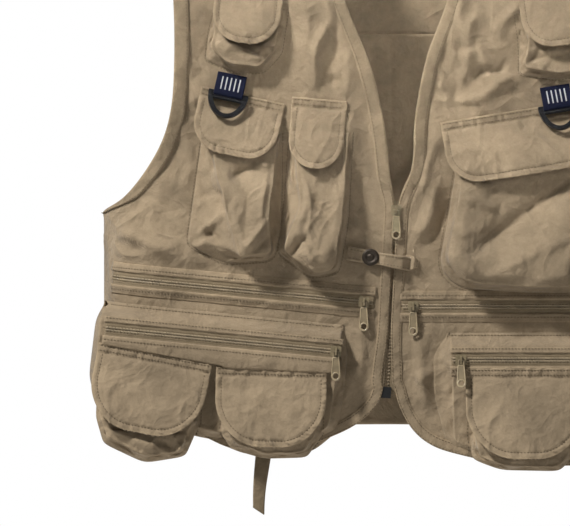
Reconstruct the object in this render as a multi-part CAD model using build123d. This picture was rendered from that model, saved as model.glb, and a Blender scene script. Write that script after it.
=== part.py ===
"""Fishing vest: shell panels, bindings, pocket pouches, flaps, zips, D-rings, snap tab and loops.

Units are millimetres. +Z is up, -Y is the front of the wearer, -X is the wearer's right side.
The origin is the crown of the hanger loop at the back of the neck, so heights are drops below it.
"""

import math
import os

from build123d import *

# ---------------------------------------------------------------- driving dimensions
FRONT_Y = -80.0            # outer face of the front panels
BACK_Y = 30.0              # outer face of the back panel
SEAM_Y = -18.0             # side and shoulder seams, where front meets back
HALF_WIDTH = 246.0         # half the vest's width below the armholes
CORNER_R = 52.0            # plan radius where the front turns round to the side
WALL = 1.6                 # shell fabric with its facing
NECK_POINT = (88.0, 8.0)   # x and z of the seam's end beside the neck
SHOULDER_TIP = (195.0, -35.0)
SLOPE_START_Z = -150.0     # above this the front leans back to the shoulder
BACK_HEM_Z = -535.0
YOKE_SEAM_Z = -184.0
BINDING = 11.0             # width of the neck binding
ARM_BINDING = (12.0, -9.0) # inward offset of the armhole binding, x and z

ZIP_TOP = (6.0, -333.0)    # x and z of the main zip's top
ZIP_BOTTOM = (-3.0, -497.0)
ZIP_EDGE = 6.0             # from the zip's centre line to the front edges
PLACKET = 8.0              # width of the stitched placket beside the zip

COIL_GAP, COIL_OUT, COIL_T = 0.6, 2.6, 1.8       # half gap, half width, thickness of a zip chain
TAPE_OUT, MAIN_TAPE_OUT = 7.0, 12.0              # half width of a pocket zip and of the main zip
SLIDER_HALF, SLIDER_WEB = 4.5, 0.35              # half size of the slider's plates, half thickness of its web
RUN_CLEAR = 0.3                                  # slider to chain
PULL_LENGTH, PULL_T = 25.0, 1.2
PLATE_T = 1.2
PIVOT_RISE = 0.9                                 # pull's pivot above the slider's top plate
BAIL_HALF = 3.4

FABRIC = 1.2               # pouch wall
FLAP_T = 1.6
FLAP_PITCH = 18.0          # how far a flap stands off the chest, degrees
FLAP_STANDOFF = 0.8        # hinge line to the face that the flap is sewn on
PATCH_T, PATCH_GAP = 0.8, 0.3                    # hook and loop patches, and the gap between them
MOUTH_DROP = 30.0          # from a flap's hinge to its pouch's mouth

BELLOWS_DEPTH = 14.0       # depth of the two lower bellows pockets, lying half collapsed
ROOF_START = 11.0          # a bellows pocket's top edge is sewn flat this far down
RING_BAR_R, RING_BORE_R = 1.6, 1.68
WEB_WIDTH = 25.0

EXTENT = 700.0             # longer than the vest in any direction


# ---------------------------------------------------------------- placing and basic shapes
def front_frame(x, z, roll=0.0, out=0.0):
    """Sewing frame on the front: u to the wearer's left, v up, w out of the chest. Roll drops the +u end."""
    r = math.radians(roll)
    return Plane(origin=(x, FRONT_Y - out, z), x_dir=(math.cos(r), 0, -math.sin(r)), z_dir=(0, -1, 0))


def place(plane, shape):
    return shape.moved(plane.location)


def box(u0, u1, v0, v1, w0, w1):
    return Pos((u0 + u1) / 2, (v0 + v1) / 2, (w0 + w1) / 2) * Box(u1 - u0, v1 - v0, w1 - w0)


def slab(sketch, w0, w1):
    """A sketch in (u, v), extruded from w0 to w1."""
    return extrude(Pos(0, 0, w0) * sketch, w1 - w0, dir=(0, 0, 1))


def side_prism(points, half_width):
    """A polygon of (v, w) points, extruded along u both ways."""
    return extrude(Plane.YZ * Polygon(*points, align=None), half_width, both=True)


def through_y(edges_or_points, y0=-EXTENT, y1=EXTENT):
    """A closed outline in the vest's own x and z, extruded through it from y0 to y1."""
    if isinstance(edges_or_points[0], tuple):
        face = Polygon(*edges_or_points, align=None)
    else:
        face = make_face(edges_or_points)
    plane = Plane(origin=(0, y1, 0), x_dir=(1, 0, 0), z_dir=(0, -1, 0))
    return extrude(plane * face, y1 - y0, dir=(0, -1, 0))


def half_space(y0, y1):
    return Pos(0, (y0 + y1) / 2, -300) * Box(2 * EXTENT, y1 - y0, 2 * EXTENT)


def export(name, *solids):
    """Writes one node. It holds one solid, or several that belong to one group."""
    flat = [s for shape in solids for s in shape.solids()]
    export_step(flat[0] if len(flat) == 1 else Compound(children=flat), f"parts/{name}.step")


# ---------------------------------------------------------------- the body's shape
def body_volume(grow=0.0):
    """The space inside the vest's outer face, grown outward by `grow`."""
    half, top = HALF_WIDTH + grow, NECK_POINT[1] + grow
    slope = (SHOULDER_TIP[1] - NECK_POINT[1]) / (SHOULDER_TIP[0] - NECK_POINT[0])
    outer_z = top + slope * (half - NECK_POINT[0])
    silhouette = through_y([
        (-half, -EXTENT), (half, -EXTENT), (half, outer_z), (NECK_POINT[0], top),
        (-NECK_POINT[0], top), (-half, outer_z),
    ])
    profile = Polygon(
        (FRONT_Y - grow, -EXTENT), (FRONT_Y - grow, SLOPE_START_Z), (-23 - grow, 14), (-4 + grow, 14),
        (BACK_Y + grow, -140), (BACK_Y + grow, -EXTENT), align=None,
    )
    side = extrude(Plane.YZ * profile, EXTENT, both=True)
    depth = BACK_Y - FRONT_Y + 2 * grow
    plan = Pos(0, (FRONT_Y + BACK_Y) / 2, -EXTENT) * RectangleRounded(2 * half, depth, CORNER_R + grow)
    return silhouette & side & extrude(plan, 2 * EXTENT)


def zip_x(z):
    """The main zip's centre line."""
    share = (z - ZIP_TOP[1]) / (ZIP_BOTTOM[1] - ZIP_TOP[1])
    return ZIP_TOP[0] + share * (ZIP_BOTTOM[0] - ZIP_TOP[0])


NECK_RIGHT = [(0, -333), (-2, -300), (-7, -262), (-18, -217), (-39, -164), (-63, -90), (-88, 20)]
NECK_LEFT = [(12, -333), (21, -300), (23, -262), (33, -211), (50, -164), (70, -90), (88, 20)]
ARM_RIGHT = [(-252, -343), (-226, -330), (-202, -302), (-187, -266), (-182, -217), (-184, -140), (-196, -10)]
ARM_LEFT = [(-x, z) for x, z in ARM_RIGHT]
HEM_RIGHT = [(-9, -496), (-14, -506), (-26, -520), (-60, -536), (-110, -546), (-180, -540), (-256, -530)]
HEM_LEFT = [(3, -496), (6, -508), (20, -530), (56, -549), (110, -558), (180, -552), (256, -540)]


def shifted(points, dx=0.0, dz=0.0):
    return [(x + dx, z + dz) for x, z in points]


def strip_region(points, dx=0.0, dz=0.0, y0=-EXTENT, y1=EXTENT):
    """The band between a curve and the same curve moved over."""
    moved = shifted(points, dx, dz)
    edges = [Spline(*points), Line(points[-1], moved[-1]), Spline(*moved), Line(moved[0], points[0])]
    return through_y(edges, y0, y1)


def closed_region(points, *corners, y0=-EXTENT, y1=EXTENT):
    """The area between a curve and the far corners listed."""
    path = [points[-1], *corners, points[0]]
    edges = [Spline(*points)] + [Line(a, b) for a, b in zip(path, path[1:])]
    return through_y(edges, y0, y1)


def neck_cut():
    vee = through_y(
        [Spline(*NECK_RIGHT), Line(NECK_RIGHT[-1], NECK_LEFT[-1]), Spline(*NECK_LEFT[::-1]),
         Line(NECK_LEFT[0], NECK_RIGHT[0])], y1=SEAM_Y)
    back = through_y(
        [ThreePointArc((-88, 8), (0, -20), (88, 8)), Line((88, 8), (88, 40)), Line((88, 40), (-88, 40)),
         Line((-88, 40), (-88, 8))], y0=SEAM_Y)
    return vee + back


def shell_panels():
    """Cuts the shell into panels, bindings and plackets that meet edge to edge."""
    shell = body_volume() - body_volume(-WALL)
    arm_right = closed_region(ARM_RIGHT, (-196, 60), (-400, 60), (-400, -343))
    arm_left = closed_region(ARM_LEFT, (196, 60), (400, 60), (400, -343))
    shell = shell - neck_cut() - arm_right - arm_left

    front = shell & half_space(-EXTENT, SEAM_Y)
    back = shell & half_space(SEAM_Y, EXTENT)
    back = back - Pos(0, 0, BACK_HEM_Z - EXTENT) * Box(3 * EXTENT, 3 * EXTENT, 2 * EXTENT)
    bands = arm_bands()
    arm_bindings = [shell & band for band in bands]

    right_side = through_y(front_edge(-1) + [(-400, -600), (-400, 60)])
    left_side = through_y(front_edge(1) + [(400, -600), (400, 60)])
    below_right = closed_region(HEM_RIGHT, (-400, -530), (-400, -650), (40, -650), (40, -496))
    below_left = closed_region(HEM_LEFT, (400, -540), (400, -650), (-40, -650), (-40, -496))

    neck_right = front & strip_region(NECK_RIGHT, dx=-BINDING)
    neck_left = front & strip_region(NECK_LEFT, dx=BINDING)
    back_arc = [
        ThreePointArc((-99, 8), (0, -31), (99, 8)), Line((99, 8), (99, 40)), Line((99, 40), (-99, 40)),
        Line((-99, 40), (-99, 8))]
    neck_back = back & through_y(back_arc)

    placket_right = placket(-1)
    placket_left = placket(1)
    taken_right = strip_region(NECK_RIGHT, dx=-BINDING) + placket_right + bands[0]
    taken_left = strip_region(NECK_LEFT, dx=BINDING) + placket_left + bands[1]
    front_right = (front & right_side) - below_right
    front_left = (front & left_side) - below_left
    return {
        "front_panel_right": front_right - taken_right - zip_slot("upper_right"),
        "front_panel_left": front_left - taken_left - zip_slot("upper_left"),
        "placket_right": (front_right & placket_right) - strip_region(NECK_RIGHT, dx=-BINDING),
        "placket_left": (front_left & placket_left) - strip_region(NECK_LEFT, dx=BINDING),
        "neck_binding": [neck_right - bands[0], neck_left - bands[1], neck_back],
        "armhole_binding_right": arm_bindings[0],
        "armhole_binding_left": arm_bindings[1],
        "back": (back - bands[0] - bands[1]) - through_y(back_arc),
    }


def front_edge(side):
    """The line of one front edge, straight up from the zip's top and on down past its bottom."""
    top = ZIP_TOP[1]
    reach = side * ZIP_EDGE
    return [(zip_x(top) + reach, 60), (zip_x(top) + reach, top), (zip_x(-600) + reach, -600)]


def arm_bands():
    dx, dz = ARM_BINDING
    return strip_region(ARM_RIGHT, dx=dx, dz=dz), strip_region(ARM_LEFT, dx=-dx, dz=dz)


def placket(side):
    """The stitched strip along one front edge. side is -1 for the wearer's right, 1 for the left."""
    top, bottom = ZIP_TOP[1], ZIP_BOTTOM[1] - 30
    near, far = side * ZIP_EDGE, side * (ZIP_EDGE + PLACKET)
    return through_y([
        (zip_x(top) + near, top), (zip_x(bottom) + near, bottom), (zip_x(bottom) + far, bottom),
        (zip_x(top) + far, top)], y1=FRONT_Y + 10)


# ---------------------------------------------------------------- zips
# Each pocket zip: its frame, the ends of its chain, where its slot stops, and where its slider rests and runs to.
POCKET_ZIPS = {
    "upper_right": {"x": -12, "z": -420.0, "roll": 5.45, "out": 0.0, "chain": (-233, -1), "slot": (-228, -1.2),
                    "rest": -10.0, "run": -160.0, "pitch": 0.0},
    "upper_left": {"x": 9, "z": -423.0, "roll": 0.0, "out": 0.0, "chain": (1, 233), "slot": (6.2, 228),
                   "rest": 11.0, "run": 160.0, "pitch": 0.0},
    "lower_right": {"x": -38, "z": -461.6, "roll": 5.65, "out": BELLOWS_DEPTH, "chain": (-205, -3),
                    "slot": (-197, -3.2), "rest": -8.0, "run": -168.0, "pitch": 0.0},
    "lower_left": {"x": 50, "z": -468.0, "roll": 0.0, "out": BELLOWS_DEPTH, "chain": (2, 197),
                   "slot": (3, 189), "rest": 10.0, "run": 160.0, "pitch": 20.0},
}
SLOT_HALF = 6.0
PLATE_W = COIL_T + RUN_CLEAR             # underside of a pocket slider's top plate
MAIN_RUN = -143.0
MAIN_REST = -8.0                         # the main slider's centre, below the zip's top
MAIN_CHAIN_W = -2.8                      # back of the main chain, behind the front edges
MAIN_PLATE_W = 0.9                       # underside of the main slider's top plate, outside the front edges


def zip_frame(name):
    data = POCKET_ZIPS[name]
    return front_frame(data["x"], data["z"], data["roll"], data["out"])


def main_frame():
    """The main zip's frame: v runs up the zip, u across it."""
    dx, dz = ZIP_BOTTOM[0] - ZIP_TOP[0], ZIP_BOTTOM[1] - ZIP_TOP[1]
    return front_frame(ZIP_TOP[0], ZIP_TOP[1], math.degrees(math.atan2(-dx, -dz)))


def zip_slot(name):
    """The opening that a pocket zip closes."""
    u0, u1 = POCKET_ZIPS[name]["slot"]
    return place(zip_frame(name), box(u0, u1, -SLOT_HALF, SLOT_HALF, -12, 8))


def layer(w0, w1):
    """The space between two offsets of the shell's outer face."""
    return body_volume(w1) - body_volume(w0)


def pocket_zip_pieces():
    """Tapes and chains. On the shell they follow its corner; on a bellows pocket they lie flat."""
    tapes, coils = [], []
    shell_tape, shell_coil = layer(0.6, 1.2), layer(0.05, COIL_T)
    for name, data in POCKET_ZIPS.items():
        frame = zip_frame(name)
        u0, u1 = data["chain"]
        for side in (-1, 1):
            tape_v = sorted((side * COIL_OUT, side * TAPE_OUT))
            coil_v = sorted((side * COIL_GAP, side * COIL_OUT))
            if data["out"]:
                tapes.append(place(frame, box(u0, u1, *tape_v, 0.6, 1.2)))
                coils.append(place(frame, box(u0, u1, *coil_v, 0.0, COIL_T)))
            else:
                tapes.append(shell_tape & place(frame, box(u0, u1, *tape_v, -70, 20)))
                coils.append(shell_coil & place(frame, box(u0, u1, *coil_v, -70, 20)))
    return tapes, coils


def bail(plate_top):
    """The bridge that holds the pull, standing on the slider's top plate."""
    inner = plate_top + 2 * PIVOT_RISE
    bridge = inner + 1.2
    leg = 1.2
    return (
        box(-0.8, 0.8, -BAIL_HALF, -BAIL_HALF + leg, plate_top, bridge)
        + box(-0.8, 0.8, BAIL_HALF - leg, BAIL_HALF, plate_top, bridge)
        + box(-0.8, 0.8, -BAIL_HALF, BAIL_HALF, inner, bridge)
    )


def slider(along_u, chain_w, plate_w):
    """Two plates joined by the web that runs in the chain's gap, with the bail on top."""
    half, lower = SLIDER_HALF, chain_w - RUN_CLEAR
    web = (-half, half, -SLIDER_WEB, SLIDER_WEB) if along_u else (-SLIDER_WEB, SLIDER_WEB, -half, half)
    plate = RectangleRounded(2 * half, 2 * half, 1.6)
    back_plate = slab(plate, lower - 1.1, lower)
    front_plate = slab(plate, plate_w, plate_w + PLATE_T)
    return back_plate + box(*web, lower - 0.2, plate_w + 0.2) + front_plate + bail(plate_w + PLATE_T)


def pull():
    """The pull tab: it hangs from its bar at the origin, down -v."""
    eye_half, bar_half, eye_depth = 1.5, 2.75, BAIL_HALF + 1.2
    end_r = 4.0
    end_v = end_r - PULL_LENGTH
    blade = make_face([
        Line((-bar_half, -eye_depth), (-end_r, end_v)),
        ThreePointArc((-end_r, end_v), (0, -PULL_LENGTH), (end_r, end_v)),
        Line((end_r, end_v), (bar_half, -eye_depth)),
        Line((bar_half, -eye_depth), (-bar_half, -eye_depth)),
    ])
    blade = blade - Pos(0, end_v) * Circle(2.3)
    half_t = PULL_T / 2
    left_arm = box(-bar_half, -eye_half, -eye_depth, 0, -half_t, half_t)
    right_arm = box(eye_half, bar_half, -eye_depth, 0, -half_t, half_t)
    bar = Rot(Y=90) * Cylinder(half_t, 2 * bar_half)
    return slab(blade, -half_t, half_t) + left_arm + right_arm + bar


def pull_pivot(name):
    """x, z and height off the front of a pull's pivot."""
    if name == "main":
        point = main_frame().from_local_coords((0, MAIN_REST, MAIN_PLATE_W + PLATE_T + PIVOT_RISE))
    else:
        rest = POCKET_ZIPS[name]["rest"]
        point = zip_frame(name).from_local_coords((rest, 0, PLATE_W + PLATE_T + PIVOT_RISE))
    return point.X, point.Z, FRONT_Y - point.Y


def hung_pull(name, pitch=0.0):
    x, z, out = pull_pivot(name)
    return place(front_frame(x, z, 0.0, out), Rot(X=-pitch) * pull())


def main_zip_pieces():
    """Tapes and chains of both sides, the two top stops, and the retainer box at the bottom."""
    frame = main_frame()
    length = math.dist(ZIP_TOP, ZIP_BOTTOM)
    retainer = place(frame, box(-4.2, 4.2, -length - 4, -length + 5.5, MAIN_CHAIN_W - 1.0, -0.2))
    tapes, coils, stops = [], [], []
    for side in (-1, 1):
        tape_u = sorted((side * COIL_OUT, side * MAIN_TAPE_OUT))
        coil_u = sorted((side * COIL_GAP, side * COIL_OUT))
        stop_u = sorted((side * 0.6, side * 2.5))
        tapes.append(place(frame, box(*tape_u, -length, 0, MAIN_CHAIN_W + 0.6, -WALL - 0.05)) - retainer)
        coils.append(place(frame, box(*coil_u, -length + 6, -3.2, MAIN_CHAIN_W, MAIN_CHAIN_W + COIL_T)))
        stops.append(place(frame, box(*stop_u, -2.8, -0.4, MAIN_CHAIN_W - 0.3, -0.5)))
    return tapes, coils, stops, retainer


# ---------------------------------------------------------------- pouches and flaps
# x and z of the flap's hinge line at its middle; roll, width and length of the flap and of the pouch.
POCKETS = {
    "upper_right": {"x": -118, "z": -148, "roll": 7, "bag_roll": 4, "bag_w": 62, "bag_h": 75, "flap_w": 58,
                    "flap_l": 50, "depth": 17, "corner": 24, "out": 0, "lift": 110},
    "upper_left": {"x": 138, "z": -150, "roll": -7, "bag_roll": -4, "bag_w": 62, "bag_h": 77, "flap_w": 60,
                   "flap_l": 50, "depth": 17, "corner": 24, "out": 0, "lift": 110},
    "chest_outer_right": {"x": -126, "z": -250.5, "roll": 12, "bag_roll": 2, "bag_w": 72, "bag_h": 137,
                          "flap_w": 73, "flap_l": 43, "depth": 25, "corner": 24, "out": 0, "lift": 90},
    "chest_inner_right": {"x": -60, "z": -254, "roll": 5, "bag_roll": 2, "bag_w": 48, "bag_h": 144,
                          "flap_w": 47, "flap_l": 50, "depth": 24, "corner": 22, "out": 0, "lift": 110},
    "chest_left": {"x": 107, "z": -264, "roll": -9, "bag_roll": 0, "bag_w": 118, "bag_h": 144, "flap_w": 127,
                   "flap_l": 46, "depth": 28, "corner": 26, "out": 0, "lift": 90},
    "lower_outer_right": {"x": -200, "z": -470, "roll": 11, "bag_roll": 4, "bag_w": 88, "bag_h": 82,
                          "flap_w": 98, "flap_l": 58, "depth": 20, "corner": 38, "out": BELLOWS_DEPTH,
                          "lift": 110},
    "lower_inner_right": {"x": -100.5, "z": -482, "roll": 1.5, "bag_roll": 0, "bag_w": 88, "bag_h": 69,
                          "flap_w": 94, "flap_l": 57, "depth": 19, "corner": 38, "out": BELLOWS_DEPTH,
                          "lift": 110},
    "lower_inner_left": {"x": 114, "z": -482.6, "roll": 0, "bag_roll": 0, "bag_w": 94, "bag_h": 79,
                         "flap_w": 100, "flap_l": 66, "depth": 20, "corner": 40, "out": BELLOWS_DEPTH,
                         "lift": 110},
    "lower_outer_left": {"x": 208, "z": -484.8, "roll": -2, "bag_roll": -1, "bag_w": 80, "bag_h": 72,
                         "flap_w": 82, "flap_l": 60, "depth": 18, "corner": 34, "out": BELLOWS_DEPTH,
                         "lift": 110},
}
PITCH = math.radians(FLAP_PITCH)
STACK = 2 * PATCH_T + PATCH_GAP          # from a flap's back to its pouch's face
BAND_START, BAND_END = 0.7, 7.0          # the flap's sewn band, above its hinge line


def rounded_patch(width, top, bottom, corner):
    """A patch with square top corners and rounded bottom ones."""
    patch = Pos(0, (top + bottom) / 2) * Rectangle(width, top - bottom)
    return fillet(patch.vertices().group_by(Axis.Y)[0], corner)


def pouch_block(data, inset):
    """The pouch's outer block at inset 0, or the space inside it at the fabric's thickness."""
    bottom, flap_end = -data["bag_h"] + inset, -data["flap_l"]
    mouth = -MOUTH_DROP + (5.0 if inset else 0.0)
    back = 0.3 + inset

    def face(v):
        return FLAP_STANDOFF - v * math.tan(PITCH) - STACK / math.cos(PITCH) - inset

    depth = data["depth"] - inset
    swell = bottom + 0.35 * (flap_end - bottom)
    profile = [
        (mouth, back), (mouth, max(face(mouth), back + 0.2)), (flap_end, face(flap_end)), (swell, depth),
        (bottom, 0.8 * depth), (bottom, back)]
    width = data["bag_w"] - 2 * inset
    outline = rounded_patch(width, mouth, bottom, 9.0 - inset)
    return slab(outline, 0, 60) & side_prism(profile, width)


def flap_frame(data):
    return front_frame(data["x"], data["z"], data["roll"], data["out"] + FLAP_STANDOFF)


def flap_pivot(data):
    """A flap turns about the upper outer edge of its cloth, where the band's stitching holds it."""
    return flap_frame(data).from_local_coords((0, FLAP_T * math.sin(PITCH), FLAP_T * math.cos(PITCH)))


def pocket_pieces(data):
    """The pouch, the flap with its hook patch, the loop patch on the pouch, and the flap's sewn band."""
    bag_frame = front_frame(data["x"], data["z"], data["bag_roll"], data["out"])
    tilt = Rot(X=-FLAP_PITCH)
    frame = flap_frame(data)
    pouch = place(bag_frame, pouch_block(data, 0.0) - pouch_block(data, FABRIC))
    over_flap = place(frame, tilt * box(-90, 90, -data["flap_l"] - 4, 40, -STACK, 60))
    pouch = pouch - over_flap

    flap = slab(rounded_patch(data["flap_w"], 0, -data["flap_l"], data["corner"] * 0.98), 0, FLAP_T)
    patch_w, patch_v = min(30.0, 0.45 * data["flap_w"]), -data["flap_l"] + 3
    hook = box(-patch_w / 2, patch_w / 2, patch_v, patch_v + 9, -PATCH_T, 0)
    loop = box(-patch_w / 2, patch_w / 2, patch_v, patch_v + 9, -STACK, -STACK + PATCH_T)
    half_w = data["flap_w"] / 2
    band = place(bag_plane(data), box(-half_w, half_w, BAND_START, BAND_END, 0, FLAP_T))
    return pouch, [place(frame, tilt * flap), place(frame, tilt * hook)], place(frame, tilt * loop), band


def bag_plane(data):
    """The face that a flap's band is sewn on."""
    return front_frame(data["x"], data["z"], data["roll"], data["out"])


# ---------------------------------------------------------------- lower bellows pockets and inner bags
BELLOWS_RIGHT = [(-252, -417), (-38, -438), (-38, -528), (-60, -539), (-235, -530), (-257, -512), (-257, -428)]
BELLOWS_LEFT = [
    (42, -446), (250, -443), (258, -455), (258, -530), (240, -546), (150, -558), (90, -558), (54, -546),
    (42, -520)]


def bellows_pocket(outline, top, slot):
    """A shallow box with its top edge sewn flat, cut back to the shell, with a slot for its zip."""
    depth = BELLOWS_DEPTH
    skin = 0.3 + FABRIC
    roof_end = ROOF_START + 4.2
    solid = through_y(outline, FRONT_Y - depth, FRONT_Y + 60)
    inner = offset(Polygon(*outline, align=None), -FABRIC, kind=Kind.INTERSECTION)
    plane = Plane(origin=(0, FRONT_Y + 70, 0), x_dir=(1, 0, 0), z_dir=(0, -1, 0))
    hollow = extrude(plane * inner, 70 + depth - FABRIC, dir=(0, -1, 0))
    above = [(-ROOF_START, skin), (-roof_end, depth + 0.01), (60, depth + 0.01), (60, skin)]
    above_hollow = [
        (-ROOF_START - FABRIC, -90), (-ROOF_START - FABRIC, skin), (-roof_end - FABRIC, depth), (60, depth), (60, -90)]
    solid = solid - place(top, side_prism(above, 300))
    hollow = hollow - place(top, side_prism(above_hollow, 300))
    return solid - hollow - body_volume(0.3) - slot


def inner_bag(name, side):
    """The flat bag hanging inside the front behind an upper zip, open at the top."""
    u0, u1 = sorted((side * 14.0, side * 165.0))
    outer = box(u0, u1, -95, 9, -7.6, -3.4)
    inner = box(u0 + FABRIC, u1 - FABRIC, -95 + FABRIC, 12, -7.6 + FABRIC, -3.4 - FABRIC)
    return place(zip_frame(name), outer - inner)


# ---------------------------------------------------------------- D-rings, tab, snap, loops
RINGS = {
    "right": {"x": -137.0, "z": -242.5, "roll": 12.0},
    "left": {"x": 143.0, "z": -252.5, "roll": -9.0},
}
RING_OUT, RING_PITCH = 6.0, 20.0         # the bar's height off the front, and the ring's lean on the flap
LOOP_R, WEB_RISE = 3.1, 17.0


def ring_frame(side):
    data = RINGS[side]
    return front_frame(data["x"], data["z"], data["roll"], RING_OUT)


def d_ring(side):
    """A flat bow hanging from its round bar, one moulding."""
    bow = (Ellipse(17.2, 22.0) - Ellipse(12.9, 18.6)) & (Pos(0, -15) * Rectangle(40, 30))
    bar = Rot(Y=90) * Cylinder(RING_BAR_R, 34.0)
    return place(ring_frame(side), Rot(X=-RING_PITCH) * (slab(bow, -RING_BAR_R, RING_BAR_R) + bar))


def webbing(side):
    """The webbing that loops round a ring's bar and is sewn down above it."""
    strap = side_prism(
        [(0, LOOP_R), (WEB_RISE, 3.2 - RING_OUT), (WEB_RISE, 0.5 - RING_OUT), (0, -LOOP_R)], WEB_WIDTH / 2)
    loop = Rot(Y=90) * Cylinder(LOOP_R, WEB_WIDTH)
    bore = Rot(Y=90) * Cylinder(RING_BORE_R, WEB_WIDTH + 2)
    return place(ring_frame(side), (strap + loop) - bore)


TAB_Z, TAB_ROLL, TAB_WIDTH, TAB_T = -384.0, 10.0, 11.0, 1.4
TAB_END_U, TAB_HINGE_U, SNAP_U = -36.0, 19.0, -16.5
TAB_LOW, TAB_BASE, TAB_LIFT = 2.8, 0.4, 6.2      # its underside at the snap, at the hinge, and over the zip
CAP_R, STUD_R = 7.2, 5.0


def tab_frame():
    return front_frame(0, TAB_Z, TAB_ROLL)


def tab_pieces():
    """The strap with the snap's cap and socket, and the stud and post on the right front."""
    low, base, lift, t = TAB_LOW, TAB_BASE, TAB_LIFT, TAB_T
    under = [(TAB_HINGE_U, base), (15.5, base), (10.5, lift), (-5.5, lift), (-8.5, low), (TAB_END_U, low)]
    over = [(TAB_END_U, low + t), (-8, low + t), (-5.0, lift + t), (11.4, lift + t), (16.4, base + t),
            (TAB_HINGE_U, base + t)]
    profile = Plane.XZ * Polygon(*(under + over), align=None)
    strap = extrude(profile, TAB_WIDTH / 2, both=True)
    snap = Pos(SNAP_U, 0)
    cap = slab(snap * Circle(CAP_R), low + t, low + t + 0.7)
    cap = cap + slab(snap * Circle(CAP_R - 1.2), low + t, low + t + 1.4)
    socket = slab(snap * (Circle(STUD_R) - Circle(2.5)), low - 1.5, low)
    stud = slab(snap * Circle(STUD_R), 0.0, 0.9) + slab(snap * Circle(2.0), 0.0, 2.4)
    post = slab(snap * Circle(STUD_R + 0.5), -WALL - 1.0, -WALL)
    return [place(tab_frame(), shape) for shape in (strap, cap, socket, stud, post)]


HEM_LOOP_X, HEM_LOOP_TOP, HEM_LOOP_LENGTH = -107.0, -545.0, 54.0
HEM_LOOP_W, HEM_LOOP_BACK = 13.0, 4.0


def hem_loop():
    """A folded tape loop hanging below the hem, with a flat gap between its two layers."""
    frame = front_frame(HEM_LOOP_X, HEM_LOOP_TOP, 0.0, -HEM_LOOP_BACK)
    length = HEM_LOOP_LENGTH
    half_outer = [(0, 1.4), (-0.5 * length, 4.0), (-0.85 * length, 3.4), (-length, 0.8)]
    half_inner = [(-8, 0.3), (-0.5 * length, 2.8), (-0.85 * length, 2.2), (-length + 2, 0.3)]
    outer = half_outer + [(v, -w) for v, w in reversed(half_outer)]
    inner = half_inner + [(v, -w) for v, w in reversed(half_inner)]
    return place(frame, side_prism(outer, HEM_LOOP_W / 2) - side_prism(inner, HEM_LOOP_W))


def hanger_loop():
    """The tape loop at the back of the neck; the origin is the crown of its inside."""
    tape, width, drop, half = 1.2, 8.0, 26.0, 24.0
    arch = make_face([
        ThreePointArc((-half - tape, -drop), (0, tape), (half + tape, -drop)),
        Line((half + tape, -drop), (half, -drop)),
        ThreePointArc((half, -drop), (0, 0), (-half, -drop)),
        Line((-half, -drop), (-half - tape, -drop)),
    ])
    plane = Plane(origin=(0, 1.0, 0), x_dir=(1, 0, 0), z_dir=(0, -1, 0))
    return extrude(plane * arch, width, dir=(0, -1, 0))


# ---------------------------------------------------------------- build
def build_shell():
    panels = shell_panels()
    back = panels.pop("back")
    above_yoke = Pos(0, 0, YOKE_SEAM_Z + EXTENT) * Box(3 * EXTENT, 3 * EXTENT, 2 * EXTENT)
    panels["back_yoke"] = back & above_yoke
    panels["back_panel"] = back - above_yoke
    for name, shape in panels.items():
        export(name, *(shape if isinstance(shape, list) else [shape]))


def build_zips():
    tapes, coils = pocket_zip_pieces()
    export("pocket_zip_tapes", *tapes)
    export("pocket_zip_coils", *coils)
    for name, data in POCKET_ZIPS.items():
        spot = zip_frame(name).location * Pos(data["rest"], 0, 0)
        export(f"{name}_zip_slider", slider(True, 0.0, PLATE_W).moved(spot))
        export(f"{name}_zip_pull", hung_pull(name, data["pitch"]))
    tapes, coils, stops, retainer = main_zip_pieces()
    export("main_zip_tapes", *tapes)
    export("main_zip_coils", *coils)
    export("main_zip_top_stops", *stops)
    export("main_zip_retainer", retainer)
    spot = main_frame().location * Pos(0, MAIN_REST, 0)
    export("main_zip_slider", slider(False, MAIN_CHAIN_W, MAIN_PLATE_W).moved(spot))
    export("main_zip_pull", hung_pull("main"))


def build_pockets():
    loops, bands = [], []
    for name, data in POCKETS.items():
        pouch, flap, loop, band = pocket_pieces(data)
        export(f"{name}_pouch", pouch)
        export(f"{name}_flap", *flap)
        loops.append(loop)
        bands.append(band)
    export("loop_patches", *loops)
    export("flap_bands", *bands)
    top_right = front_frame(-38, -438, 5.6)
    top_left = front_frame(42, -446, -0.82)
    export("bellows_pocket_right", bellows_pocket(BELLOWS_RIGHT, top_right, zip_slot("lower_right")))
    export("bellows_pocket_left", bellows_pocket(BELLOWS_LEFT, top_left, zip_slot("lower_left")))
    export("inner_pocket_bags", inner_bag("upper_right", -1), inner_bag("upper_left", 1))


def build_hardware():
    for side in RINGS:
        export(f"d_ring_{side}", d_ring(side))
    export("ring_webbings", webbing("right"), webbing("left"))
    for name, shape in zip(("closure_tab", "snap_cap", "snap_socket", "snap_stud", "snap_post"), tab_pieces()):
        export(name, shape)
    export("hem_loop", hem_loop())
    export("hanger_loop", hanger_loop())


if __name__ == "__main__":
    os.makedirs("parts", exist_ok=True)
    build_shell()
    build_zips()
    build_pockets()
    build_hardware()
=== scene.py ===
"""The fishing vest's looks: cloth, zips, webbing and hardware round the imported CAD. Lengths are in mm."""

import math

import bmesh
import bpy
import numpy as np
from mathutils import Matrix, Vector
from mathutils.bvhtree import BVHTree


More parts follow.
